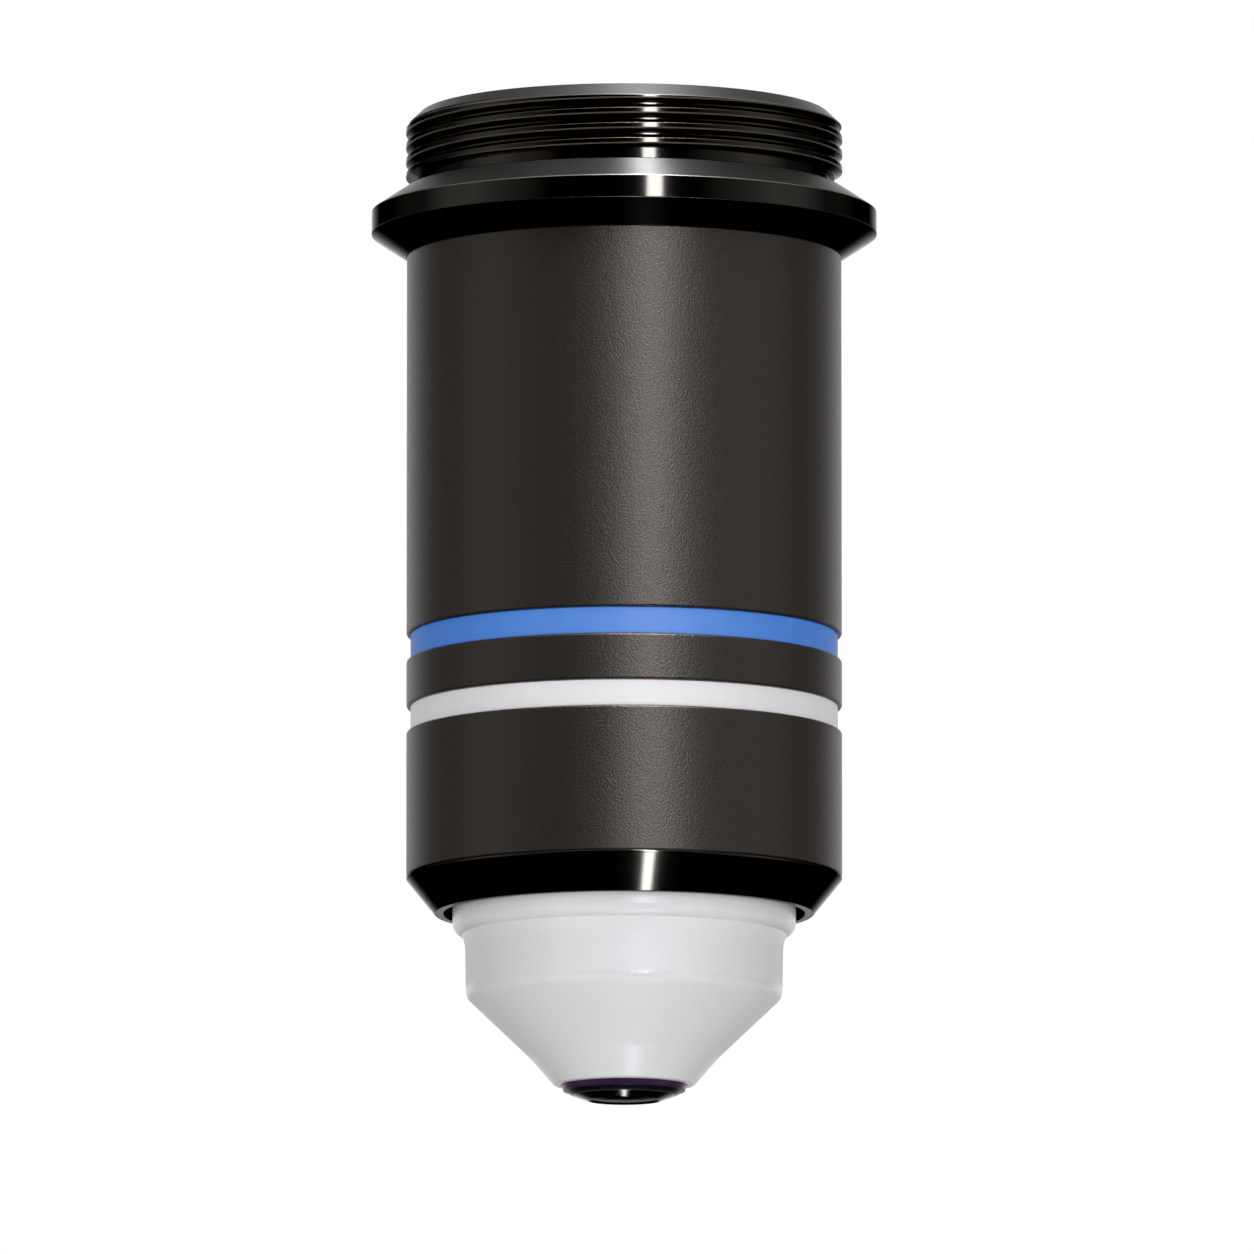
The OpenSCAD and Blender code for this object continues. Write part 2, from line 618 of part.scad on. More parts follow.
// Front cell, whose turned-in lip holds the front lens
module front_cell() {
    lens_bore_r = front_lens_r + lens_gap;
    ring_bore_r = meniscus_ring_r + fit_gap;
    color(colour_metal) turned([
        [throat_r, tip_z + tip_sink_depth],
        [window_r, tip_z],
        [tip_r - tip_bevel_w, bevel_low_z],
        [tip_r, seal_low_z],
        [tip_r, cell_cone_low_z],
        [tube_spigot_r, cell_cone_top_z],
        [tube_spigot_r, tube_end_z],
        [small_cell_r, tube_end_z],
        [small_cell_r, front_cell_top_z],
        [small_cell_r - front_spigot_wall, front_cell_top_z],
        [small_cell_r - front_spigot_wall, meniscus_ring_z + meniscus_ring_h],
        [ring_bore_r, meniscus_ring_z + meniscus_ring_h],
        [ring_bore_r, meniscus_edge_top_z],
        [meniscus_r + lens_gap, meniscus_edge_top_z],
        [meniscus_r + lens_gap, meniscus_seat_z],
        [meniscus_land_r, meniscus_seat_z],
        [lens_bore_r, cell_cone_low_z],
        [lens_bore_r, tip_z + tip_sink_depth + lens_bore_r - throat_r]]);
}

// Front lens with its small hollow, its bevelled seat and its high dome
module front_lens() {
    seat_r = throat_r - lens_gap;
    intersection() {
        lens(front_lens_r, dish_z, -front_dish_curve, dome_z, front_dome_curve, low_land = front_dish_r);
        color(colour_glass) turned([
            [0, front_face_z],
            [seat_r, front_face_z],
            [front_lens_r, front_face_z + front_lens_r - seat_r],
            [front_lens_r + past, front_face_z + front_lens_r - seat_r],
            [front_lens_r + past, dome_z + past],
            [0, dome_z + past]]);
    }
}

// Meniscus lens over the front lens
module meniscus_lens() {
    lens(meniscus_r, meniscus_low_z, -meniscus_low_curve, meniscus_high_z, meniscus_high_curve,
        low_land = meniscus_land_r);
}

// Threaded ring that holds the meniscus lens in the front cell
module meniscus_ring() {
    color(colour_brass)
        ring(meniscus_ring_z, meniscus_ring_z + meniscus_ring_h, meniscus_land_r, meniscus_ring_r);
}

// Height of the centring screws
screw_z = triplet_z + triplet_cell_h / 2;

// Inner barrel that holds the lens stack, with a spigot for the cap and holes for the screws
module inner_barrel() {
    color(colour_brass) difference() {
        turned([
            [tube_bore_r, tube_top_z],
            [tube_r - edge_break, tube_top_z],
            [tube_r, tube_top_z - edge_break],
            [tube_r, cap_seat_z],
            [tube_spigot_r, cap_seat_z],
            [tube_spigot_r, tube_end_z],
            [tube_throat_r, tube_end_z],
            [tube_throat_r, stack_z],
            [tube_bore_r, stack_z]]);
        for (i = [1:centring_screws_n])
            rotate([0, 0, i * 360 / centring_screws_n])
                translate([tube_bore_r - past, 0, screw_z]) rotate([0, 90, 0])
                    cylinder(h = tube_wall + 2 * past, r = centring_screw_d / 2 + fit_gap);
    }
}

// Ring that locks the inner barrel under the mount's skirt once the focus height is set
module lock_ring() {
    inner_r = tube_r + fit_gap;
    color(colour_brass) difference() {
        ring(skirt_low_z - lock_ring_h, skirt_low_z, inner_r, inner_r + lock_ring_w);
        slot_bar(skirt_low_z - lock_ring_h - past, skirt_low_z - lock_ring_h + slot_depth, sleeve_bore_r);
    }
}

// Single lens behind the front cell, and its cell, which the doublet's cell clamps
single_seat_z = front_cell_top_z + ledge_t;

module single_cell() {
    cell(front_cell_top_z, stack_z, small_cell_r, single_r);
}

module single_lens() {
    lens(single_r, single_seat_z, 0, single_seat_z + single_edge_t + single_rise, single_curve);
}

// Cemented doublet: its faces' heights, its cell and its two lenses
doublet_low_z = stack_z + ledge_t - sag(doublet_low_curve, doublet_r - ledge_w) + lens_gap;
doublet_joint_z = doublet_low_z + doublet_crown_t;

module doublet_cell() {
    cell(stack_z, front_spacer_z, cell_r, doublet_r);
}

module doublet_crown() {
    lens(doublet_r, doublet_low_z, doublet_low_curve, doublet_joint_z, doublet_joint_curve);
}

module doublet_flint() {
    lens(doublet_r, doublet_joint_z + cement_t, -doublet_joint_curve - cement_t,
        doublet_joint_z + cement_t + doublet_flint_t, 0);
}

// Spacer between doublet and triplet
module front_spacer() {
    color(colour_brass) ring(front_spacer_z, triplet_z, cell_r - spacer_w, cell_r);
}

// Cemented triplet in a cell that screws shift sideways to centre it
triplet_seat_z = triplet_z + ledge_t;
triplet_joint_low_z = triplet_seat_z + triplet_flint_t;
triplet_joint_high_z = triplet_joint_low_z + cement_t + triplet_crown_t;

module triplet_cell() {
    cell(triplet_z, middle_z, triplet_cell_r, triplet_r);
}

module triplet_lower_flint() {
    lens(triplet_r, triplet_seat_z, 0, triplet_joint_low_z, -triplet_low_curve - cement_t);
}

module triplet_crown() {
    lens(triplet_r, triplet_joint_low_z + cement_t, triplet_low_curve,
        triplet_joint_high_z, triplet_high_curve);
}

module triplet_upper_flint() {
    lens(triplet_r, triplet_joint_high_z + cement_t, -triplet_high_curve - cement_t,
        triplet_joint_high_z + cement_t + triplet_flint_t, 0);
}

// Slotted grub screws through the inner barrel onto the triplet's cell
module centring_screws() {
    inner_end = triplet_cell_r + lens_gap;
    outer_end = tube_r - edge_break;
    screw_r = centring_screw_d / 2;
    color(colour_metal)
        for (i = [1:centring_screws_n])
            rotate([0, 0, i * 360 / centring_screws_n]) difference() {
                translate([inner_end, 0, screw_z]) rotate([0, 90, 0])
                    cylinder(h = outer_end - inner_end, r = screw_r);
                translate([outer_end - screw_r / 2, -screw_r - past, screw_z - screw_r / 6])
                    cube([screw_r, 2 * (screw_r + past), screw_r / 3]);
            }
}

// Middle cemented pair: its faces' heights, its cell and its two lenses
middle_low_z = middle_z + ledge_t - sag(middle_low_curve, middle_land_r) + lens_gap;
middle_joint_z = middle_low_z + middle_crown_t;

module middle_cell() {
    cell(middle_z, rear_spacer_z, cell_r, middle_r);
}

module middle_crown() {
    lens(middle_r, middle_low_z, middle_low_curve, middle_joint_z, middle_joint_curve);
}

module middle_flint() {
    lens(middle_r, middle_joint_z + cement_t, -middle_joint_curve - cement_t,
        middle_joint_z + cement_t + middle_flint_t, -middle_high_curve,
        high_land = middle_land_r);
}

// Spacer that takes up what is left between the front groups and the rear ones
module rear_spacer() {
    color(colour_brass) ring(rear_spacer_z, lower_rear_z, cell_r - spacer_w, cell_r);
}

// Lower rear pair, whose hollow faces up
lower_rear_low_z = lower_rear_z + ledge_t - sag(lower_rear_curve, rear_r - ledge_w) + lens_gap;
lower_rear_joint_z = lower_rear_low_z + lower_rear_crown_t;

module lower_rear_cell() {
    cell(lower_rear_z, upper_rear_z, cell_r, rear_r);
}

module lower_rear_crown() {
    lens(rear_r, lower_rear_low_z, lower_rear_curve, lower_rear_joint_z, lower_rear_joint_curve);
}

module lower_rear_flint() {
    lens(rear_r, lower_rear_joint_z + cement_t, -lower_rear_joint_curve - cement_t,
        lower_rear_joint_z + cement_t + lower_rear_flint_t, -lower_hollow_curve,
        high_land = hollow_r);
}

// Upper rear pair, whose hollow faces down
upper_rear_low_z = upper_rear_z + ledge_t + upper_hollow_depth;
upper_rear_joint_z = upper_rear_low_z + upper_rear_flint_t;

module upper_rear_cell() {
    cell(upper_rear_z, stop_z, cell_r, rear_r);
}

module upper_rear_flint() {
    lens(rear_r, upper_rear_low_z, -upper_hollow_curve,
        upper_rear_joint_z, -upper_rear_joint_curve - cement_t, low_land = hollow_r);
}

module upper_rear_crown() {
    lens(rear_r, upper_rear_joint_z + cement_t, upper_rear_joint_curve,
        upper_rear_joint_z + cement_t + upper_rear_crown_t, upper_rear_curve);
}

// Rear aperture stop, bevelled on its upper side
module rear_stop() {
    stop_r = rear_r - stop_cover;
    color(colour_black)
        turned([[stop_r, stop_z], [cell_r, stop_z], [cell_r, retainer_z], [stop_r + stop_t, retainer_z]]);
}

// Threaded ring with two spanner slots that clamps the whole stack
module rear_retainer() {
    color(colour_black) difference() {
        ring(retainer_z, retainer_z + retainer_h, cell_r - retainer_w, cell_r);
        slot_bar(retainer_z + retainer_h - slot_depth, retainer_z + retainer_h + past, tube_r);
    }
}

mount_body();
outer_sleeve();
blue_band();
white_band();
nose_ring();
nose_oring();
nose_cap();
front_seal();
front_cell();
front_lens();
meniscus_lens();
meniscus_ring();
inner_barrel();
lock_ring();
single_cell();
single_lens();
doublet_cell();
doublet_crown();
doublet_flint();
front_spacer();
triplet_cell();
triplet_lower_flint();
triplet_crown();
triplet_upper_flint();
centring_screws();
middle_cell();
middle_crown();
middle_flint();
rear_spacer();
lower_rear_cell();
lower_rear_crown();
lower_rear_flint();
upper_rear_cell();
upper_rear_flint();
upper_rear_crown();
rear_stop();
rear_retainer();
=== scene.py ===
import json
import math

import bmesh
import bpy
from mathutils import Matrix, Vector

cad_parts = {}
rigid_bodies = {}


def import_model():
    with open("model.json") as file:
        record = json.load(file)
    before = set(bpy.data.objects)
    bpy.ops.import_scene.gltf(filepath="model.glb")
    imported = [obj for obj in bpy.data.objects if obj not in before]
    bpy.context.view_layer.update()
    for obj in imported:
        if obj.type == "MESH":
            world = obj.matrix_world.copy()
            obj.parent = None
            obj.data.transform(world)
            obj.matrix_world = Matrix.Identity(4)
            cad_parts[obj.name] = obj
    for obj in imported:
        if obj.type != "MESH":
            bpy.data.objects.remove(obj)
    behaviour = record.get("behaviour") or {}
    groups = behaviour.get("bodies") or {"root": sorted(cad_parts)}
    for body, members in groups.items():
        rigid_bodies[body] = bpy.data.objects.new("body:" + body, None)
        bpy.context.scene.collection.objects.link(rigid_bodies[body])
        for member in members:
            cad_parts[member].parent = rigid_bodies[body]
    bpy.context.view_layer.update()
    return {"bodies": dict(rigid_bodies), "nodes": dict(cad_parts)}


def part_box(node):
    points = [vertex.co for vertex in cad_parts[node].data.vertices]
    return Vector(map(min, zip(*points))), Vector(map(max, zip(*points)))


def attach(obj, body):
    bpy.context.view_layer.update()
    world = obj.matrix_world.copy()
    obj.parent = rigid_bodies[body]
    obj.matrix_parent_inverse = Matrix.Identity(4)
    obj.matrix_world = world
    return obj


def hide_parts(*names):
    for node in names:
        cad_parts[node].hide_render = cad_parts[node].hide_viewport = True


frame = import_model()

# A water-dipping microscope objective with a ceramic tip, hanging as it does in use, thread up.
# Every size below is in millimetres from the mounting shoulder and turns into metres with mm.
mm = 0.001
body = next(iter(frame["bodies"]))
columns = 256  # facets round each turned piece
arcSteps = 5  # facets across each small rounded edge
supportGap = 0.012  # distance of the loop that keeps a flat face flat beside a rounded edge
sharpAngle = math.radians(40)


def toLinear(hexColour):
    values = [int(hexColour[i:i + 2], 16) / 255 for i in (1, 3, 5)]
    return [v / 12.92 if v <= 0.04045 else ((v + 0.055) / 1.055) ** 2.4 for v in values] + [1]


def addNode(tree, kind, links=None, values=None, **settings):
    node = tree.nodes.new(kind)
    for name, value in settings.items():
        setattr(node, name, value)
    for socket, value in (values or {}).items():
        node.inputs[socket].default_value = value
    for socket, source in (links or {}).items():
        tree.links.new(source, node.inputs[socket])
    return node


# Outlines are lists of (radius, height), which a lathe turns round the optical axis

def arcPoints(centre, radius, start, end, steps=16):
    angles = [math.radians(start + (end - start) * i / steps) for i in range(steps + 1)]
    return [(centre[0] + radius * math.cos(a), centre[1] + radius * math.sin(a)) for a in angles]


def between(start, end, step):  # points strictly between two others, no further apart than step
    length = math.dist(start, end)
    count = max(1, math.ceil(length / step))
    return [tuple(s + (e - s) * i / count for s, e in zip(start, end)) for i in range(1, count)]


def rounded(corners, closed=True):  # corners are (radius, height) or (radius, height, rounding)
    outline = []
    for i, corner in enumerate(corners):
        here = Vector(corner[:2])
        if len(corner) == 2 or (not closed and i in (0, len(corners) - 1)):
            outline.append(tuple(here))
            continue
        before = (Vector(corners[i - 1][:2]) - here).normalized()
        after = (Vector(corners[(i + 1) % len(corners)][:2]) - here).normalized()
        half = before.angle(after) / 2
        reach = corner[2] / math.tan(half)
        centre = here + (before + after).normalized() * corner[2] / math.sin(half)
        start = here + before * reach - centre
        turn = math.pi - 2 * half
        side = 1 if start.x * (here - centre).y - start.y * (here - centre).x > 0 else -1
        outline.append(tuple(here + before * (reach + supportGap)))
        for k in range(arcSteps + 1):
            a = side * turn * k / arcSteps
            outline.append((centre.x + start.x * math.cos(a) - start.y * math.sin(a),
                            centre.y + start.x * math.sin(a) + start.y * math.cos(a)))
        outline.append(tuple(here + after * (reach + supportGap)))
    return outline


def lathe(name, outline, closed=True, around=columns):  # an open outline starts and ends on the axis
    mesh = bpy.data.meshes.new(name)
    shape = bmesh.new()
    loops = []
    for radius, height in outline:
        if radius < 1e-6:
            loops.append([shape.verts.new((0, 0, height * mm))])
            continue
        angles = [2 * math.pi * i / around for i in range(around)]
        loops.append([shape.verts.new((radius * math.cos(a) * mm, radius * math.sin(a) * mm, height * mm))
                      for a in angles])
    pairs = list(zip(loops, loops[1:])) + ([(loops[-1], loops[0])] if closed else [])
    for low, high in pairs:
        for i in range(around):
            j = (i + 1) % around
            ring = [low[i % len(low)], low[j % len(low)], high[j % len(high)], high[i % len(high)]]
            corners = list(dict.fromkeys(ring))
            if len(corners) > 2:
                shape.faces.new(corners)
    bmesh.ops.recalc_face_normals(shape, faces=shape.faces)
    shape.to_mesh(mesh)
    shape.free()
    mesh.shade_smooth()
    mesh.set_sharp_from_angle(angle=sharpAngle)
    piece = bpy.data.objects.new(name, mesh)
    bpy.context.collection.objects.link(piece)
    return piece


def dress(piece, material, slotName, *nodes):  # material and body for a piece, and the CAD nodes that it stands for; slotName is not used
    piece.data.materials.clear()
    piece.data.materials.append(material)
    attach(piece, body)
    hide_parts(*nodes)
    print("piece", piece.name, "polygons", len(piece.data.polygons))


def boxOf(node):  # lowest height, highest height and outer radius of a CAD node, in millimetres
    low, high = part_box(node)
    return low.z / mm, high.z / mm, high.x / mm


# Materials

def newMaterial(name):
    material = bpy.data.materials.new(name)
    material.use_nodes = True
    tree = material.node_tree
    shader = tree.nodes["Principled BSDF"]
    place = addNode(tree, "ShaderNodeTexCoord").outputs["Object"]
    return material, tree, shader, place


def satinAnodised():
    # Blasted and dark anodised aluminium: an even warm grey with a broad, finely grained sheen
    material, tree, shader, place = newMaterial("satinAnodisedAluminium")
    grit = {"grain": 0.09, "depth": 0.016, "cloud": 3.0,  # mm, drawn coarser than real blasting so it shows
            "dark": "#140f0b", "light": "#17120d", "warmth": "#fff1e4",
            "glossy": 0.32, "dull": 0.42, "ior": 1.6}
    grain = addNode(tree, "ShaderNodeTexNoise", {"Vector": place},
                    {"Scale": 1 / (grit["grain"] * mm), "Detail": 2.0, "Roughness": 0.6})
    cloud = addNode(tree, "ShaderNodeTexNoise", {"Vector": place}, {"Scale": 1 / (grit["cloud"] * mm)})
    colour = addNode(tree, "ShaderNodeMix", {"Factor": cloud.outputs["Fac"]},
                     {"A": toLinear(grit["dark"]), "B": toLinear(grit["light"])}, data_type="RGBA")
    gloss = addNode(tree, "ShaderNodeMapRange", {"Value": grain.outputs["Fac"]},
                    {"To Min": grit["glossy"], "To Max": grit["dull"]})
    bump = addNode(tree, "ShaderNodeBump", {"Height": grain.outputs["Fac"]},
                   {"Distance": grit["depth"] * mm, "Strength": 1.0})
    shader.inputs["IOR"].default_value = grit["ior"]
    shader.inputs["Specular Tint"].default_value = toLinear(grit["warmth"])
    tree.links.new(colour.outputs["Result"], shader.inputs["Base Color"])
    tree.links.new(gloss.outputs["Result"], shader.inputs["Roughness"])
    tree.links.new(bump.outputs["Normal"], shader.inputs["Normal"])
    return material


thread = {
    "pitch": 0.7056, "depth": 0.36, "flank": 27.5,  # mm and degrees: 36 turns to the inch, a 55 degree form
    "crestFlat": 0.234, "crestHeight": 2.22,  # crests are cut down; height of one on the camera's side
    "cameraTurns": 0.75,  # from the +X side round to the camera's
    "rounding": 0.14, "runOutSlope": 2.1,  # share of the depth; how steeply the groove ends at the chamfer
}

# Math nodes that tell how far along its pitch the thread is at a place, for the thread and for its finish:
# each gives its result a name, and takes earlier results or numbers
alongPitch = [
    ("xx", "MULTIPLY", "x", "x"), ("yy", "MULTIPLY", "y", "y"), ("square", "ADD", "xx", "yy"),
    ("radius", "SQRT", "square"), ("angle", "ARCTAN2", "y", "x"), ("turns", "DIVIDE", "angle", 2 * math.pi),
    ("above", "SUBTRACT", "z", "start"), ("rows", "DIVIDE", "above", "pitch"),
    ("unwound", "SUBTRACT", "rows", "turns"), ("shifted", "ADD", "unwound", thread["cameraTurns"]),
    ("wave", "FRACT", "shifted"), ("fromRoot", "SUBTRACT", "wave", 0.5),
]


def blackPlating():
    # Turned brass under glossy black plating: black with a hard bright streak, turned satin on the chamfer
    # and the flange's upper cone, a painted shade that makes it blacker under the flange,
    # and light hairlines: painted highlights on the rim's and the chamfer's edges, partly brass bared by wear
    # and partly painted highlights on the crests
    material, tree, shader, place = newMaterial("glossBlackPlatedBrass")
    finish = {
        "lines": 0.09, "lineDepth": 0.0001,  # mm between turning lines, and their depth
        "chamferLow": 2.95, "coneMiddle": -0.53, "coneHalf": 0.5, "coneR": 10.13,  # mm, where it is satin
        "underMiddle": -2.6, "underHalf": 0.54,  # mm, the flange's lower cone, where a painted shade makes it blacker
        "threadMiddle": 1.78, "threadHalf": 1.17, "crestR": 9.98,  # mm
        "rimTop": -1.04, "rimTopHalf": 0.024, "rimLow": -2.06, "rimLowHalf": 0.01, "chamferHalf": 0.025,  # mm, painted highlight lines on the rim's edges and the chamfer's lower edge
        "crestEdge": 0.334, "lowHalf": 0.04, "highHalf": 0.02,  # hairlines on the crests, in pitches, partly wear and partly painted highlight
        "gloss": 0.09, "coneRough": 0.27, "chamferRough": 0.36, "hairlineRough": 0.26,  # the last three add to it
        "coneTurned": 0.97, "chamferTurned": 0.5,  # how far the turning lines draw the light out
        "lowDulled": -0.6,  # added to metallic on the lower hairline of a crest, so that the fill lamps light its tan shade
        "black": "#3c3a36", "mirror": "#909090", "satinMirror": "#ffffff",
        # The hairline shade is a painted highlight on the rim and chamfer edges, and partly wear, partly
        # painted highlight on the crests; the darkest shade is a painted shade under the flange
        "shades": {"satin": "#656361", "paintedShadeUnder": "#131312", "wearAndHighlight": "#8f887d", "threadLine": "#5c5247"},
    }
    axes = addNode(tree, "ShaderNodeSeparateXYZ", {"Vector": place}).outputs
    known = {"x": axes["X"], "y": axes["Y"], "z": axes["Z"],
             "start": thread["crestHeight"] * mm, "pitch": thread["pitch"] * mm}
    steps = alongPitch + [
        ("isChamfer", "GREATER_THAN", "z", finish["chamferLow"] * mm),
        ("isConeHeight", "COMPARE", "z", finish["coneMiddle"] * mm, finish["coneHalf"] * mm),
        ("isConeRadius", "GREATER_THAN", "radius", finish["coneR"] * mm),
        ("isCone", "MULTIPLY", "isConeHeight", "isConeRadius"), ("satin", "MAXIMUM", "isChamfer", "isCone"),
        ("coneRough", "MULTIPLY", "isCone", finish["coneRough"]),
        ("chamferRough", "MULTIPLY", "isChamfer", finish["chamferRough"]),
        ("satinRough", "ADD", "coneRough", "chamferRough"),
        ("coneTurned", "MULTIPLY", "isCone", finish["coneTurned"]),
        ("chamferTurned", "MULTIPLY", "isChamfer", finish["chamferTurned"]),
        ("turned", "ADD", "coneTurned", "chamferTurned"),
        # Painted shade: a darker black on the flange's lower cone, in the shade under the flange
        ("isUnderHeight", "COMPARE", "z", finish["underMiddle"] * mm, finish["underHalf"] * mm),
        ("paintedShadeUnder", "MULTIPLY", "isUnderHeight", "isConeRadius"),
        # Hairlines, painted lighter: both edges of each crest, partly wear and partly painted highlight, and
        # the rim's two edges and the chamfer's lower one, painted highlights
        ("lowEdge", "COMPARE", "fromRoot", finish["crestEdge"], finish["lowHalf"]),
        ("highEdge", "COMPARE", "fromRoot", -finish["crestEdge"], finish["highHalf"]),
        ("isEdge", "MAXIMUM", "lowEdge", "highEdge"),
        ("isCrest", "GREATER_THAN", "radius", finish["crestR"] * mm),
        ("isThread", "COMPARE", "z", finish["threadMiddle"] * mm, finish["threadHalf"] * mm),
        ("onThread", "MULTIPLY", "isCrest", "isThread"), ("threadLine", "MULTIPLY", "isEdge", "onThread"),
        ("lowCrestEdge", "MULTIPLY", "lowEdge", "onThread"), ("dulled", "MULTIPLY", "lowCrestEdge", finish["lowDulled"]),
        ("metal", "ADD", "dulled", 1.0),
        ("rimTopLine", "COMPARE", "z", finish["rimTop"] * mm, finish["rimTopHalf"] * mm),
        ("rimLowLine", "COMPARE", "z", finish["rimLow"] * mm, finish["rimLowHalf"] * mm),
        ("chamferLine", "COMPARE", "z", finish["chamferLow"] * mm, finish["chamferHalf"] * mm),
        ("rimLines", "MAXIMUM", "rimTopLine", "rimLowLine"),
        ("paintedHighlightLines", "MAXIMUM", "rimLines", "chamferLine"),
        ("wearAndHighlight", "MAXIMUM", "threadLine", "paintedHighlightLines"),
        ("hairlineRough", "MULTIPLY", "wearAndHighlight", finish["hairlineRough"]),
        ("zoneRough", "MAXIMUM", "satinRough", "hairlineRough"), ("rough", "ADD", "zoneRough", finish["gloss"]),
    ]
    for name, operation, *sources in steps:
        found = [known.get(s, s) for s in sources]
        numbers = {i: s for i, s in enumerate(found) if isinstance(s, (int, float))}
        links = {i: s for i, s in enumerate(found) if i not in numbers}
        known[name] = addNode(tree, "ShaderNodeMath", links, numbers, operation=operation).outputs["Value"]
    ring = addNode(tree, "ShaderNodeCombineXYZ", {"X": known["radius"], "Y": known["z"]})
    lines = addNode(tree, "ShaderNodeTexNoise", {"Vector": ring.outputs["Vector"]},
                    {"Scale": 1 / (finish["lines"] * mm), "Detail": 3.0})
    bump = addNode(tree, "ShaderNodeBump", {"Height": lines.outputs["Fac"]},
                   {"Distance": finish["lineDepth"] * mm, "Strength": 1.0})
    colour = None
    for zone, shade in finish["shades"].items():  # each zone's shade lies over the ones before it
        layer = addNode(tree, "ShaderNodeMix", {"Factor": known[zone]}, {"B": toLinear(shade)},
                        data_type="RGBA")
        if colour:
            tree.links.new(colour, layer.inputs["A"])
        else:
            layer.inputs["A"].default_value = toLinear(finish["black"])
        colour = layer.outputs["Result"]
    tint = addNode(tree, "ShaderNodeMix", {"Factor": known["satin"]},
                   {"A": toLinear(finish["mirror"]), "B": toLinear(finish["satinMirror"])}, data_type="RGBA")
    grooves = addNode(tree, "ShaderNodeTangent", direction_type="RADIAL", axis="Z")
    tree.links.new(colour, shader.inputs["Base Color"])
    tree.links.new(known["metal"], shader.inputs["Metallic"])
    tree.links.new(known["rough"], shader.inputs["Roughness"])
    tree.links.new(tint.outputs["Result"], shader.inputs["Specular Tint"])
    tree.links.new(known["turned"], shader.inputs["Anisotropic"])
    shader.inputs["Anisotropic Rotation"].default_value = 0.25  # a quarter turn, across the turning lines
    tree.links.new(grooves.outputs["Tangent"], shader.inputs["Tangent"])
    tree.links.new(bump.outputs["Normal"], shader.inputs["Normal"])
    return material


def blackenedTip():
    # Blackened front cell: satin near its side, glossier and blacker on the lip, with a hairline of brass
    # showing through on the bevel's edge and a pale hairline round the glass, which is a painted reflection
    material, tree, shader, place = newMaterial("blackenedBrassCell")
    edges = {"glassFrom": 1.565, "glassTo": 1.615, "bevelFrom": 2.375, "bevelTo": 2.42, "reach": 3.0,  # mm
             "lipRough": 0.12, "sideRough": 0.3, "specular": 0.35}
    axes = addNode(tree, "ShaderNodeSeparateXYZ", {"Vector": place})
    flat = addNode(tree, "ShaderNodeCombineXYZ", {"X": axes.outputs["X"], "Y": axes.outputs["Y"]})
    radius = addNode(tree, "ShaderNodeVectorMath", {0: flat.outputs["Vector"]}, operation="LENGTH")
    across = addNode(tree, "ShaderNodeMapRange", {"Value": radius.outputs["Value"]},
                     {"From Max": edges["reach"] * mm})
    zones = addNode(tree, "ShaderNodeValToRGB", {"Fac": across.outputs["Result"]})
    ramp = zones.color_ramp
    ramp.interpolation = "CONSTANT"
    # The pale stop round the glass is a painted reflection
    stops = [(0.0, "#040404"), (edges["glassFrom"], "#6b6c64"), (edges["glassTo"], "#040404"),
             (edges["bevelFrom"], "#4a4436"), (edges["bevelTo"], "#0e0e11")]
    for i, (edgeR, shade) in enumerate(stops):
        stop = ramp.elements[i] if i < 2 else ramp.elements.new(1.0)
        stop.position = edgeR / edges["reach"]
        stop.color = toLinear(shade)
    isSatin = addNode(tree, "ShaderNodeMath", {0: radius.outputs["Value"]}, {1: edges["bevelFrom"] * mm},
                      operation="GREATER_THAN")
    gloss = addNode(tree, "ShaderNodeMapRange", {"Value": isSatin.outputs["Value"]},
                    {"To Min": edges["lipRough"], "To Max": edges["sideRough"]})
    tree.links.new(zones.outputs["Color"], shader.inputs["Base Color"])
    tree.links.new(gloss.outputs["Result"], shader.inputs["Roughness"])
    shader.inputs["Specular IOR Level"].default_value = edges["specular"]
    return material


def enamel(name, hexColour):
    # Baked enamel filled into a groove: flat, even colour under a soft gloss, with a faint ripple
    material, tree, shader, place = newMaterial(name)
    coat = {"ripple": 0.8, "depth": 0.001, "uneven": 0.04, "roughness": 0.5}  # the first two in mm
    ripple = addNode(tree, "ShaderNodeTexNoise", {"Vector": place}, {"Scale": 1 / (coat["ripple"] * mm)})
    shade = addNode(tree, "ShaderNodeMapRange", {"Value": ripple.outputs["Fac"]},
                    {"To Min": 1 - coat["uneven"], "To Max": 1 + coat["uneven"]})
    colour = addNode(tree, "ShaderNodeMix", None, {"Factor": 1.0, "A": toLinear(hexColour)},
                     data_type="RGBA", blend_type="MULTIPLY")
    tree.links.new(shade.outputs["Result"], colour.inputs["B"])
    bump = addNode(tree, "ShaderNodeBump", {"Height": ripple.outputs["Fac"]},
                   {"Distance": coat["depth"] * mm})
    tree.links.new(colour.outputs["Result"], shader.inputs["Base Color"])
    tree.links.new(bump.outputs["Normal"], shader.inputs["Normal"])
    shader.inputs["Roughness"].default_value = coat["roughness"]
    return material


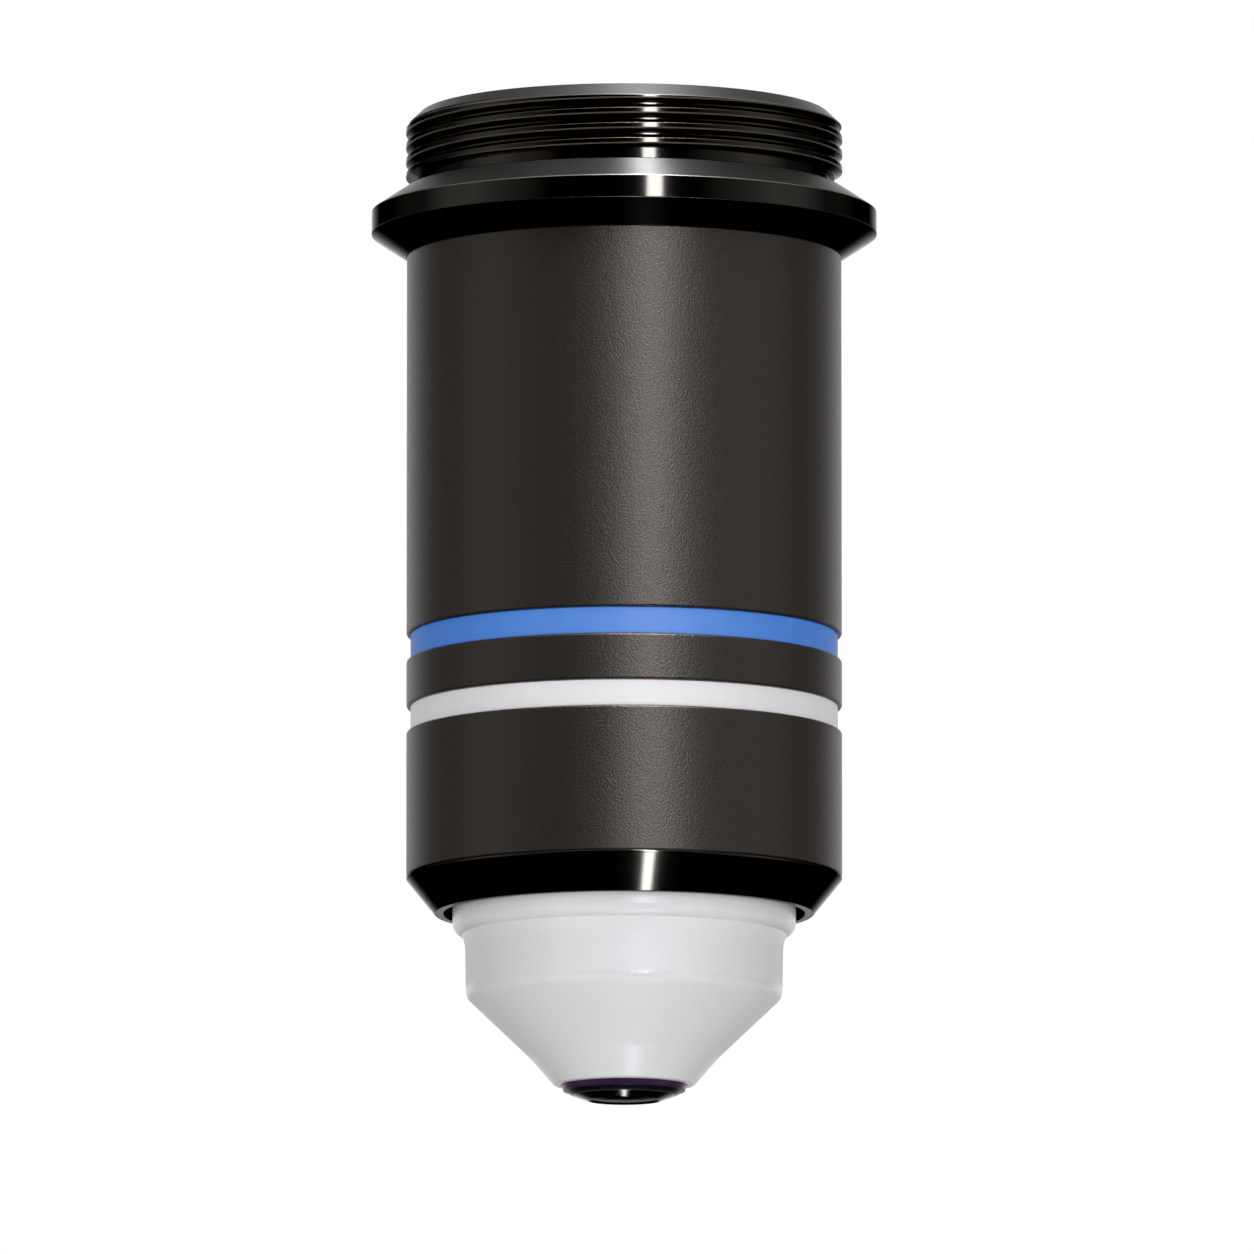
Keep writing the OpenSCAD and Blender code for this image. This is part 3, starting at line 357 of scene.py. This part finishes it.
def whiteCeramic():
    # Alumina: cool off-white and satin, polished on the bead, the shoulder and the end cone, which glint
    material, tree, shader, place = newMaterial("satinWhiteCeramic")
    ground = {
        "grain": 0.16, "depth": 0.01, "cloud": 2.4, "low": -43.0, "high": -33.0,  # mm
        "dark": "#d4d4d7", "light": "#d9d9dc",
        "gloss": [(-43.0, 0.28), (-40.6, 0.28), (-40.2, 0.45), (-37.75, 0.45), (-37.5, 0.2), (-37.38, 0.2),
                  (-37.1, 0.45), (-35.4, 0.45), (-34.5, 0.27)],  # height in mm, roughness from there on
    }
    grain = addNode(tree, "ShaderNodeTexNoise", {"Vector": place},
                    {"Scale": 1 / (ground["grain"] * mm), "Detail": 2.0})
    cloud = addNode(tree, "ShaderNodeTexNoise", {"Vector": place}, {"Scale": 1 / (ground["cloud"] * mm)})
    colour = addNode(tree, "ShaderNodeMix", {"Factor": cloud.outputs["Fac"]},
                     {"A": toLinear(ground["dark"]), "B": toLinear(ground["light"])}, data_type="RGBA")
    bump = addNode(tree, "ShaderNodeBump", {"Height": grain.outputs["Fac"]},
                   {"Distance": ground["depth"] * mm})
    axes = addNode(tree, "ShaderNodeSeparateXYZ", {"Vector": place})
    low, high = ground["low"], ground["high"]
    depth = addNode(tree, "ShaderNodeMapRange", {"Value": axes.outputs["Z"]},
                    {"From Min": low * mm, "From Max": high * mm})
    zones = addNode(tree, "ShaderNodeValToRGB", {"Fac": depth.outputs["Result"]})
    for i, (height, shade) in enumerate(ground["gloss"]):
        stop = zones.color_ramp.elements[i] if i < 2 else zones.color_ramp.elements.new(1.0)
        stop.position, stop.color = (height - low) / (high - low), (shade, shade, shade, 1)
    tree.links.new(colour.outputs["Result"], shader.inputs["Base Color"])
    tree.links.new(zones.outputs["Color"], shader.inputs["Roughness"])
    tree.links.new(bump.outputs["Normal"], shader.inputs["Normal"])
    return material


def plain(name, hexColour, roughness, metallic=0.0, grain=0.15, depth=0.0004, spread=0.12):
    # Shared build of the small pieces' finishes: one colour, a fine grain and slightly uneven gloss
    material, tree, shader, place = newMaterial(name)
    noise = addNode(tree, "ShaderNodeTexNoise", {"Vector": place}, {"Scale": 1 / (grain * mm), "Detail": 2.0})
    gloss = addNode(tree, "ShaderNodeMapRange", {"Value": noise.outputs["Fac"]},
                    {"To Min": roughness * (1 - spread), "To Max": roughness * (1 + spread)})
    bump = addNode(tree, "ShaderNodeBump", {"Height": noise.outputs["Fac"]}, {"Distance": depth * mm})
    shader.inputs["Base Color"].default_value = toLinear(hexColour)
    shader.inputs["Metallic"].default_value = metallic
    tree.links.new(gloss.outputs["Result"], shader.inputs["Roughness"])
    tree.links.new(bump.outputs["Normal"], shader.inputs["Normal"])
    return material


def coatedGlass():
    # Coated optical glass over blackened cells: what enters is swallowed, so it looks black with sharp glints
    material, _, shader, _ = newMaterial("coatedOpticalGlass")
    optics = {"Base Color": toLinear("#2a2f33"), "Transmission Weight": 1.0, "Roughness": 0.0, "IOR": 1.55}
    for socket, value in optics.items():
        shader.inputs[socket].default_value = value
    return material


finishes = {
    "plating": blackPlating(),
    "barrel": satinAnodised(),
    "blue": enamel("blueEnamel", "#447fd5"),
    "white": enamel("whiteEnamel", "#dfdfe1"),
    "ceramic": whiteCeramic(),
    "seal": plain("purpleSealant", "#2b0c33", 0.3),
    "tip": blackenedTip(),
    "blackened": plain("blackAnodisedAluminium", "#101013", 0.38),
    "rubber": plain("blackNitrileRubber", "#161616", 0.6),
    "steel": plain("blackenedSteel", "#3a3a3d", 0.35, metallic=1.0),
    "brass": plain("turnedBrass", "#a98f56", 0.35, metallic=1.0),
    "glass": coatedGlass(),
}
print("materials", len(finishes))


# Mount: recess, thread, relief, flange and the skirt inside the barrel

mount = {
    "recessR": 8.3, "recessFloor": -1.2,
    "threadR": 10.12, "chamferW": 0.64, "chamferH": 0.6,
    "reliefR": 9.58, "reliefTop": 0.6, "shoulderR": 10.15,
    "rimTop": -1.03, "rimLow": -2.06, "coneLow": -3.12, "coneLowR": 10.10,
    "skirtR": 8.97, "boreR": 7.93,
    "rowGap": 0.02, "threadGap": 0.01, "runOut": 0.17, "edge": 0.05,
}


def helicalThread():
    # Pushes the plain threaded zone of a turned piece in to a right-handed 55 degree thread
    tree = bpy.data.node_groups.new("helicalThread", "GeometryNodeTree")
    sockets = {}
    tree.interface.new_socket("Geometry", in_out="INPUT", socket_type="NodeSocketGeometry")
    for name in ("Pitch", "Crest radius", "Depth", "Crest flat", "Flank slope", "Crest height", "Zone low",
                 "Zone high", "Finish"):
        kind = "NodeSocketMaterial" if name == "Finish" else "NodeSocketFloat"
        sockets[name] = tree.interface.new_socket(name, in_out="INPUT", socket_type=kind).identifier
    tree.interface.new_socket("Geometry", in_out="OUTPUT", socket_type="NodeSocketGeometry")
    given = tree.nodes.new("NodeGroupInput").outputs

    place = addNode(tree, "GeometryNodeInputPosition").outputs["Position"]
    axes = addNode(tree, "ShaderNodeSeparateXYZ", {"Vector": place}).outputs
    known = {"x": axes["X"], "y": axes["Y"], "z": axes["Z"], "pitch": given["Pitch"],
             "crest": given["Crest radius"], "depth": given["Depth"], "crestFlat": given["Crest flat"],
             "slope": given["Flank slope"], "start": given["Crest height"],
             "zoneLow": given["Zone low"], "zoneHigh": given["Zone high"]}
    steps = alongPitch + [
        # Straight flanks, cut off by the flat crest and the root with a small rounding
        ("rootGap", "ABSOLUTE", "fromRoot"), ("crestGap", "SUBTRACT", 0.5, "rootGap"),
        ("offCrest", "MULTIPLY", "crestGap", "pitch"),
        ("halfFlat", "MULTIPLY", "crestFlat", 0.5), ("overshoot", "DIVIDE", "halfFlat", "slope"),
        ("peak", "ADD", "crest", "overshoot"),
        ("fall", "DIVIDE", "offCrest", "slope"), ("flank", "SUBTRACT", "peak", "fall"),
        # The groove gets shallower towards the top and ends in the chamfer
        ("belowTop", "SUBTRACT", "zoneHigh", "z"), ("runOut", "MULTIPLY", "belowTop", thread["runOutSlope"]),
        ("cut", "MINIMUM", "depth", "runOut"), ("root", "SUBTRACT", "crest", "cut"),
        ("blend", "MULTIPLY", "depth", thread["rounding"]),
        ("crested", "SMOOTH_MIN", "flank", "crest", "blend"),
        ("wanted", "SMOOTH_MAX", "crested", "root", "blend"),
        ("newRadius", "MINIMUM", "wanted", "radius"), ("shrink", "DIVIDE", "newRadius", "radius"),
        ("newX", "MULTIPLY", "x", "shrink"), ("newY", "MULTIPLY", "y", "shrink"),
        # Only the threaded zone moves
        ("outside", "SUBTRACT", "root", "blend"), ("isOutside", "GREATER_THAN", "radius", "outside"),
        ("isAbove", "GREATER_THAN", "z", "zoneLow"), ("chosen", "MULTIPLY", "isAbove", "isOutside"),
    ]
    for name, operation, *sources in steps:
        found = [known.get(s, s) for s in sources]
        numbers = {i: s for i, s in enumerate(found) if isinstance(s, (int, float))}
        links = {i: s for i, s in enumerate(found) if i not in numbers}
        known[name] = addNode(tree, "ShaderNodeMath", links, numbers, operation=operation).outputs["Value"]
    moved = addNode(tree, "ShaderNodeCombineXYZ", {"X": known["newX"], "Y": known["newY"], "Z": known["z"]})
    push = addNode(tree, "GeometryNodeSetPosition", {
        "Geometry": given["Geometry"], "Selection": known["chosen"], "Position": moved.outputs["Vector"]})
    real = addNode(tree, "GeometryNodeRealizeInstances", {"Geometry": push.outputs["Geometry"]})
    paint = addNode(tree, "GeometryNodeSetMaterial", {
        "Geometry": real.outputs["Geometry"], "Material": given["Finish"]})
    addNode(tree, "NodeGroupOutput", {"Geometry": paint.outputs["Geometry"]})
    return tree, sockets


def cutThread(piece):
    tree, sockets = helicalThread()
    cutter = piece.modifiers.new("thread", "NODES")
    cutter.node_group = tree
    sizes = {
        "Pitch": thread["pitch"] * mm, "Crest radius": mount["threadR"] * mm, "Depth": thread["depth"] * mm,
        "Crest flat": thread["crestFlat"] * mm, "Flank slope": math.tan(math.radians(thread["flank"])),
        "Crest height": thread["crestHeight"] * mm,
        "Zone low": (mount["reliefTop"] - supportGap / 2) * mm,
        "Zone high": (boxOf("mount_body")[1] - mount["chamferH"] + mount["runOut"]) * mm,  # in the chamfer
        "Finish": finishes["plating"]}
    for name, value in sizes.items():
        cutter[sockets[name]] = value
    seen = piece.evaluated_get(bpy.context.evaluated_depsgraph_get())
    threaded = bpy.data.meshes.new_from_object(seen)
    piece.modifiers.remove(cutter)
    piece.data = threaded


def makeMount():
    m, edge = mount, mount["edge"]
    skirtLow, top, flangeR = boxOf("mount_body")
    chamferLow = (m["threadR"], top - m["chamferH"])
    chamferTop = (m["threadR"] - m["chamferW"], top)
    threadFoot = (m["threadR"], m["reliefTop"])
    upper = [chamferTop] + between(chamferTop, chamferLow, m["rowGap"])
    upper += [chamferLow] + between(chamferLow, threadFoot, m["threadGap"]) + [threadFoot]
    lower = rounded([
        (m["reliefR"], m["reliefTop"]), (m["reliefR"], 0.0, edge), (m["shoulderR"], 0.0, edge / 2),
        (flangeR, m["rimTop"], edge), (flangeR, m["rimLow"], edge), (m["coneLowR"], m["coneLow"], edge / 2),
        (m["skirtR"], m["coneLow"]), (m["skirtR"], skirtLow), (m["boreR"], skirtLow),
        (m["boreR"], m["recessFloor"], edge), (m["recessR"], m["recessFloor"], edge),
        (m["recessR"], top, edge)])
    piece = lathe("threadedMount", upper + lower)
    cutThread(piece)
    piece.data.set_sharp_from_angle(angle=sharpAngle)
    dress(piece, finishes["plating"], "black_plating", "mount_body")


makeMount()


# Barrel with its two grooves, and the enamel in them

barrel = {
    "outerR": 10.07, "boreR": 9.0, "edge": 0.08, "grooveRound": 0.1, "grooveR": 9.78, "enamelT": 0.1,
    "enamelEdge": 0.03,
}


def makeBarrel():
    b = barrel
    low, top, _ = boxOf("outer_sleeve")
    corners = [(b["boreR"], top), (b["outerR"], top, b["edge"])]
    for node in ("blue_band", "white_band"):
        bandLow, bandTop, _ = boxOf(node)
        corners += [(b["outerR"], bandTop, b["grooveRound"]), (b["grooveR"], bandTop),
                    (b["grooveR"], bandLow), (b["outerR"], bandLow, b["grooveRound"])]
    corners += [(b["outerR"], low, b["edge"]), (b["boreR"], low)]
    dress(lathe("barrelSleeve", rounded(corners)), finishes["barrel"], "barrel_finish", "outer_sleeve")


def makeBands():
    b = barrel
    for name, node, finish, slotName in (("blueBand", "blue_band", "blue", "blue_enamel"),
                                         ("whiteBand", "white_band", "white", "white_enamel")):
        low, top, _ = boxOf(node)
        faceR = b["grooveR"] + b["enamelT"]
        ring = rounded([(b["grooveR"], low), (faceR, low, b["enamelEdge"]), (faceR, top, b["enamelEdge"]),
                        (b["grooveR"], top)])
        dress(lathe(name, ring), finishes[finish], slotName, node)


makeBarrel()
makeBands()


# Nose ring, whose cone closes the barrel round the cap

nose = {
    "boreR": 7.93, "skirtR": 8.97, "landTop": -32.05, "landR": 10.07, "landLow": -32.17, "lipR": 8.76,
    "lipBoreR": 8.35, "gapFloor": -31.9, "edge": 0.05, "grooveR": 8.4, "grooveHalf": 0.48,
}


def makeNoseRing():
    n, edge = nose, nose["edge"]
    low, top, _ = boxOf("nose_ring")
    middle = (n["gapFloor"] + top) / 2
    ring = rounded([
        (n["boreR"], top, edge), (n["skirtR"], top, edge), (n["skirtR"], n["landTop"]),
        (n["landR"], n["landTop"], edge), (n["landR"], n["landLow"], edge / 2), (n["lipR"], low, edge),
        (n["lipBoreR"], low, edge), (n["lipBoreR"], n["gapFloor"]), (n["boreR"], n["gapFloor"]),
        (n["boreR"], middle - n["grooveHalf"]), (n["grooveR"], middle - n["grooveHalf"]),
        (n["grooveR"], middle + n["grooveHalf"]), (n["boreR"], middle + n["grooveHalf"])])
    dress(lathe("noseRing", ring), finishes["plating"], "black_plating", "nose_ring")


makeNoseRing()


# Ceramic cap: bead, straight part, rounded shoulder, wide cone and steeper end cone

cap = {
    "beadR": 7.93, "beadLow": -34.21, "beadRound": 0.58, "hollowW": 0.15, "hollowH": 0.8, "topR": 7.34,
    "lowR": 7.31, "shoulder": -37.62, "shoulderRound": 0.6, "kinkR": 4.42, "kink": -40.38, "endR": 3.23,
    "endRound": 0.25, "mouthR": 2.91, "boreR": 6.21, "coneLow": -40.04, "coneTop": -36.85, "edge": 0.08,
    "kinkRound": 0.8,
}


def makeCap():
    c = cap
    low, top, _ = boxOf("nose_cap")
    # The bead's rounding ends in a corner, where a shallow hollow runs out into the straight part
    beadCentre = (c["beadR"] - c["beadRound"], c["beadLow"])
    beadTurn = math.acos((c["topR"] + c["hollowW"] - beadCentre[0]) / c["beadRound"])
    hollowCurve = (c["hollowH"] ** 2 + c["hollowW"] ** 2) / (2 * c["hollowW"])
    hollowTurn = math.degrees(math.asin(c["hollowH"] / hollowCurve))
    hollowCentre = (c["topR"] + hollowCurve,
                    c["beadLow"] - c["beadRound"] * math.sin(beadTurn) - c["hollowH"])
    coneLean = math.degrees(math.atan2(c["lowR"] - c["kinkR"], c["shoulder"] - c["kink"]))
    endLean = math.degrees(math.atan2(c["kinkR"] - c["endR"], c["kink"] - low))
    shoulderCentre = (c["lowR"] - c["shoulderRound"],
                      c["shoulder"] + c["shoulderRound"] * math.tan(math.radians(coneLean / 2)))
    endCentre = (c["endR"] - c["endRound"] * math.tan(math.radians((90 - endLean) / 2)), low + c["endRound"])
    outline = rounded([(c["boreR"], top), (c["beadR"], top, c["edge"]), (c["beadR"], c["beadLow"])])[:-1]
    outline += arcPoints(beadCentre, c["beadRound"], 0, -math.degrees(beadTurn))
    outline += arcPoints(hollowCentre, hollowCurve, 180 - hollowTurn, 180)[1:]
    outline += arcPoints(shoulderCentre, c["shoulderRound"], 0, -coneLean)
    outline += rounded([(c["lowR"], c["shoulder"]), (c["kinkR"], c["kink"], c["kinkRound"]),
                        (c["endR"], low)])[1:-1]
    outline += arcPoints(endCentre, c["endRound"], -endLean, -90, 8)
    outline += [(c["mouthR"], low), (c["mouthR"], c["coneLow"]), (c["boreR"], c["coneTop"])]
    dress(lathe("ceramicCap", outline), finishes["ceramic"], "cap_ceramic", "nose_cap")


makeCap()


# Tip: purple seal, black front cell with its turned-in lip, and the front lens

tip = {
    "sealInnerR": 2.73, "sealOuterR": 2.89, "sealShow": 0.28, "cellR": 2.71, "bevelR": 2.40, "bevelH": 0.19,
    "windowR": 1.68, "throatR": 1.56, "sinkDepth": 0.22, "sealLow": -42.02, "coneLow": -40.04,
    "coneTop": -36.85, "coneTopR": 6.15, "cellFlangeTop": -36.6, "spigotR": 5.17, "spigotBoreR": 4.3,
    "ringBoreR": 3.60, "ringTop": -36.4, "edge": 0.03, "dishR": 1.30, "dishDepth": 0.44, "lensR": 2.27,
    "domeRise": 1.24, "lensGap": 0.02, "lensColumns": 128,
}


def makeSeal():
    t = tip
    low, top, _ = boxOf("front_seal")
    ring = rounded([(t["sealInnerR"], low), ((t["sealInnerR"] + t["sealOuterR"]) / 2, low, t["edge"]),
                    (t["sealOuterR"], low + t["sealShow"]), (t["sealOuterR"], top), (t["sealInnerR"], top)])
    dress(lathe("tipSeal", ring), finishes["seal"], "seal_purple", "front_seal")


def makeFrontCell():
    t, edge = tip, tip["edge"]
    low, top, _ = boxOf("front_cell")
    lensBoreR = t["lensR"] + t["lensGap"]
    cell = rounded([
        (t["throatR"], low + t["sinkDepth"], edge), (t["windowR"], low, edge / 2),
        (t["bevelR"], t["sealLow"] - t["bevelH"], edge),
        (t["cellR"], t["sealLow"], edge), (t["cellR"], t["coneLow"]), (t["coneTopR"], t["coneTop"]),
        (t["coneTopR"], t["cellFlangeTop"]), (t["spigotR"], t["cellFlangeTop"]), (t["spigotR"], top),
        (t["spigotBoreR"], top), (t["spigotBoreR"], t["ringTop"]), (t["ringBoreR"], t["ringTop"]),
        (t["ringBoreR"], t["coneLow"]), (lensBoreR, t["coneLow"]),
        (lensBoreR, low + t["sinkDepth"] + lensBoreR - t["throatR"])])
    dress(lathe("frontCell", cell), finishes["tip"], "black_cell", "front_cell")


def cappedArc(rise, rimR, rimHeight, inward=False, steps=20):  # a lens face from its rim to the axis
    curve = (rimR ** 2 + rise ** 2) / (2 * rise)
    reach = math.asin(rimR / curve)
    sign = -1 if inward else 1
    return [(curve * math.sin(reach * (1 - i / steps)),
             rimHeight + sign * (curve * math.cos(reach * (1 - i / steps)) - (curve - rise)))
            for i in range(steps + 1)]


def makeFrontLens():
    t = tip
    low, top, _ = boxOf("front_lens")
    seatR = t["throatR"] - t["lensGap"]
    outline = cappedArc(t["dishDepth"], t["dishR"], low)[::-1]
    outline += [(seatR, low), (t["lensR"], low + t["lensR"] - seatR), (t["lensR"], top - t["domeRise"])]
    outline += cappedArc(t["domeRise"], t["lensR"], top - t["domeRise"])[1:]
    lens = lathe("frontLens", outline, closed=False, around=t["lensColumns"])
    dress(lens, finishes["glass"], "front_glass", "front_lens")


makeSeal()
makeFrontCell()
makeFrontLens()


# The other CAD nodes keep their meshes and get the finish of their metal, rubber or glass

inside = {
    "brass": ["inner_barrel", "lock_ring", "single_cell", "doublet_cell", "front_spacer", "triplet_cell",
              "middle_cell", "rear_spacer", "lower_rear_cell", "upper_rear_cell", "meniscus_ring"],
    "blackened": ["rear_stop", "rear_retainer"],
    "steel": ["centring_screws"],
    "rubber": ["nose_oring"],
    "glass": ["meniscus_lens", "single_lens", "doublet_crown", "doublet_flint", "triplet_lower_flint",
              "triplet_crown", "triplet_upper_flint", "middle_crown", "middle_flint", "lower_rear_crown",
              "lower_rear_flint", "upper_rear_flint", "upper_rear_crown"],
}
for finish, names in inside.items():
    for name in names:
        node = frame["nodes"][name]
        node.data.materials.clear()
        node.data.materials.append(finishes[finish])
        node.data.shade_smooth()
        node.data.set_sharp_from_angle(angle=sharpAngle)
print("inner nodes", sum(len(names) for names in inside.values()))


# Floor, light and camera

studio = {
    "floorDrop": 0.8, "floorSize": 6.0,  # metres; the floor lies under every camera position
    "floorColour": "#e8e8e6", "floorRough": 0.9, "worldColour": "#ffffff", "lampColour": "#f4f8ff",
    "softLight": 0.26, "middle": -20.4,  # mm, the height that the lamps and the camera face
    "underFrom": -0.4, "underTo": -0.1,  # below this slope glossy surfaces see nothing bright
    # How bright the surroundings look in glossy surfaces, from the camera's side (-1) to behind the part (1):
    # dark in front, a tall soft box on each side, dark again, and the white background
    "glow": [(-1.0, 0.0), (-0.82, 0.0), (-0.66, 0.19), (-0.48, 0.33), (-0.28, 0.6), (-0.02, 0.5), (0.26, 0.1),
             (0.5, 0.15), (0.7, 0.25), (0.88, 1.0)],
}


def makeFloor():
    half = studio["floorSize"] / 2
    mesh = bpy.data.meshes.new("floor")
    square = ((-half, -half), (half, -half), (half, half), (-half, half))
    corners = [(x, y, -studio["floorDrop"]) for x, y in square]
    mesh.from_pydata(corners, [], [(0, 1, 2, 3)])
    floor = bpy.data.objects.new("floor", mesh)
    bpy.context.collection.objects.link(floor)
    floor.visible_glossy = False  # the glossy pieces mirror dark surroundings instead
    material, _, shader, _ = newMaterial("mattWhitePaper")
    shader.inputs["Base Color"].default_value = toLinear(studio["floorColour"])
    shader.inputs["Roughness"].default_value = studio["floorRough"]
    floor.data.materials.append(material)


def makeWorld():
    # White behind the object, soft light all round it, and dark surroundings on the camera's side
    # for the glossy surfaces to reflect
    world = bpy.data.worlds.new("studio")
    bpy.context.scene.world = world
    world.use_nodes = True
    tree = world.node_tree
    background = tree.nodes["Background"]
    background.inputs["Color"].default_value = toLinear(studio["worldColour"])
    path = addNode(tree, "ShaderNodeLightPath")
    way = addNode(tree, "ShaderNodeTexCoord").outputs["Generated"]
    axes = addNode(tree, "ShaderNodeSeparateXYZ", {"Vector": way})
    depth = addNode(tree, "ShaderNodeMapRange", {"Value": axes.outputs["Y"]}, {"From Min": -1.0})
    glow = addNode(tree, "ShaderNodeValToRGB", {"Fac": depth.outputs["Result"]})
    for i, (facing, shade) in enumerate(studio["glow"]):
        stop = glow.color_ramp.elements[i] if i < 2 else glow.color_ramp.elements.new(1.0)
        stop.position, stop.color = (facing + 1) / 2, (shade, shade, shade, 1)
    under = addNode(tree, "ShaderNodeMapRange", {"Value": axes.outputs["Z"]},
                    {"From Min": studio["underFrom"], "From Max": studio["underTo"]})
    mirrored = addNode(tree, "ShaderNodeMath", {0: glow.outputs["Color"], 1: under.outputs["Result"]},
                       operation="MULTIPLY")
    rays = path.outputs
    soft = addNode(tree, "ShaderNodeMix", {"Factor": rays["Is Glossy Ray"], "B": mirrored.outputs["Value"]},
                   {"A": studio["softLight"]})
    strength = addNode(tree, "ShaderNodeMix", {"Factor": rays["Is Camera Ray"], "A": soft.outputs["Result"]},
                       {"B": 1.0})
    tree.links.new(strength.outputs["Result"], background.inputs["Strength"])


def direction(azimuth, elevation):  # azimuth 0 is towards the camera and 90 is towards +X
    a, e = math.radians(azimuth), math.radians(elevation)
    return Vector((math.sin(a) * math.cos(e), -math.cos(a) * math.cos(e), math.sin(e)))


# azimuth, elevation, distance (m), width (m), height (m), power (W), mirrored in glossy surfaces
lamps = {
    "streak": (13.7, 9, 0.6, 0.072, 0.16, 0.95, True),
    "streakHigh": (15.0, 50, 0.6, 0.05, 0.5, 7.5, True),
    "streakLow": (25.4, -70, 0.6, 0.036, 0.14, 0.5, True),
    "edgeTop": (0, 55, 0.6, 0.9, 0.15, 1.2, True),
    "tipGlint": (180, -46.5, 0.6, 0.015, 0.015, 0.02, True),
    "fillLeft": (-43, -12, 0.8, 0.5, 0.8, 4.0, False),
    "fillRight": (43, -12, 0.8, 0.5, 0.8, 4.5, False),
}


def makeLights():
    centre = Vector((0, 0, studio["middle"] * mm))
    for name, (azimuth, elevation, distance, width, height, power, mirrored) in lamps.items():
        data = bpy.data.lights.new(name, "AREA")
        data.shape, data.size, data.size_y, data.energy = "RECTANGLE", width, height, power
        if mirrored:
            data.color = toLinear(studio["lampColour"])[:3]
        lamp = bpy.data.objects.new(name, data)
        toLamp = direction(azimuth, elevation)
        lamp.location = centre + toLamp * distance
        lamp.rotation_mode = "QUATERNION"
        lamp.rotation_quaternion = toLamp.to_track_quat("Z", "Y")
        lamp.visible_glossy, lamp.visible_diffuse = mirrored, not mirrored
        bpy.context.collection.objects.link(lamp)


camera = {
    "distance": 1100.0, "elevation": -7.8, "lens": 682.7, "sensor": 36.0, "aside": 0.13,  # mm and degrees
    "clipNear": 0.01, "clipFar": 50.0,  # metres
}


def makeCamera():
    data = bpy.data.cameras.new("camera")
    data.lens, data.sensor_width = camera["lens"], camera["sensor"]
    data.clip_start, data.clip_end = camera["clipNear"], camera["clipFar"]
    seer = bpy.data.objects.new("camera", data)
    back = direction(0, camera["elevation"])
    target = Vector((camera["aside"], 0.0, studio["middle"]))
    seer.location = (target + back * camera["distance"]) * mm
    seer.rotation_mode = "QUATERNION"
    seer.rotation_quaternion = back.to_track_quat("Z", "Y")
    bpy.context.collection.objects.link(seer)
    bpy.context.scene.camera = seer


makeFloor()
makeWorld()
makeLights()
makeCamera()
bpy.context.scene.view_settings.view_transform = "Standard"
print("studio ready")
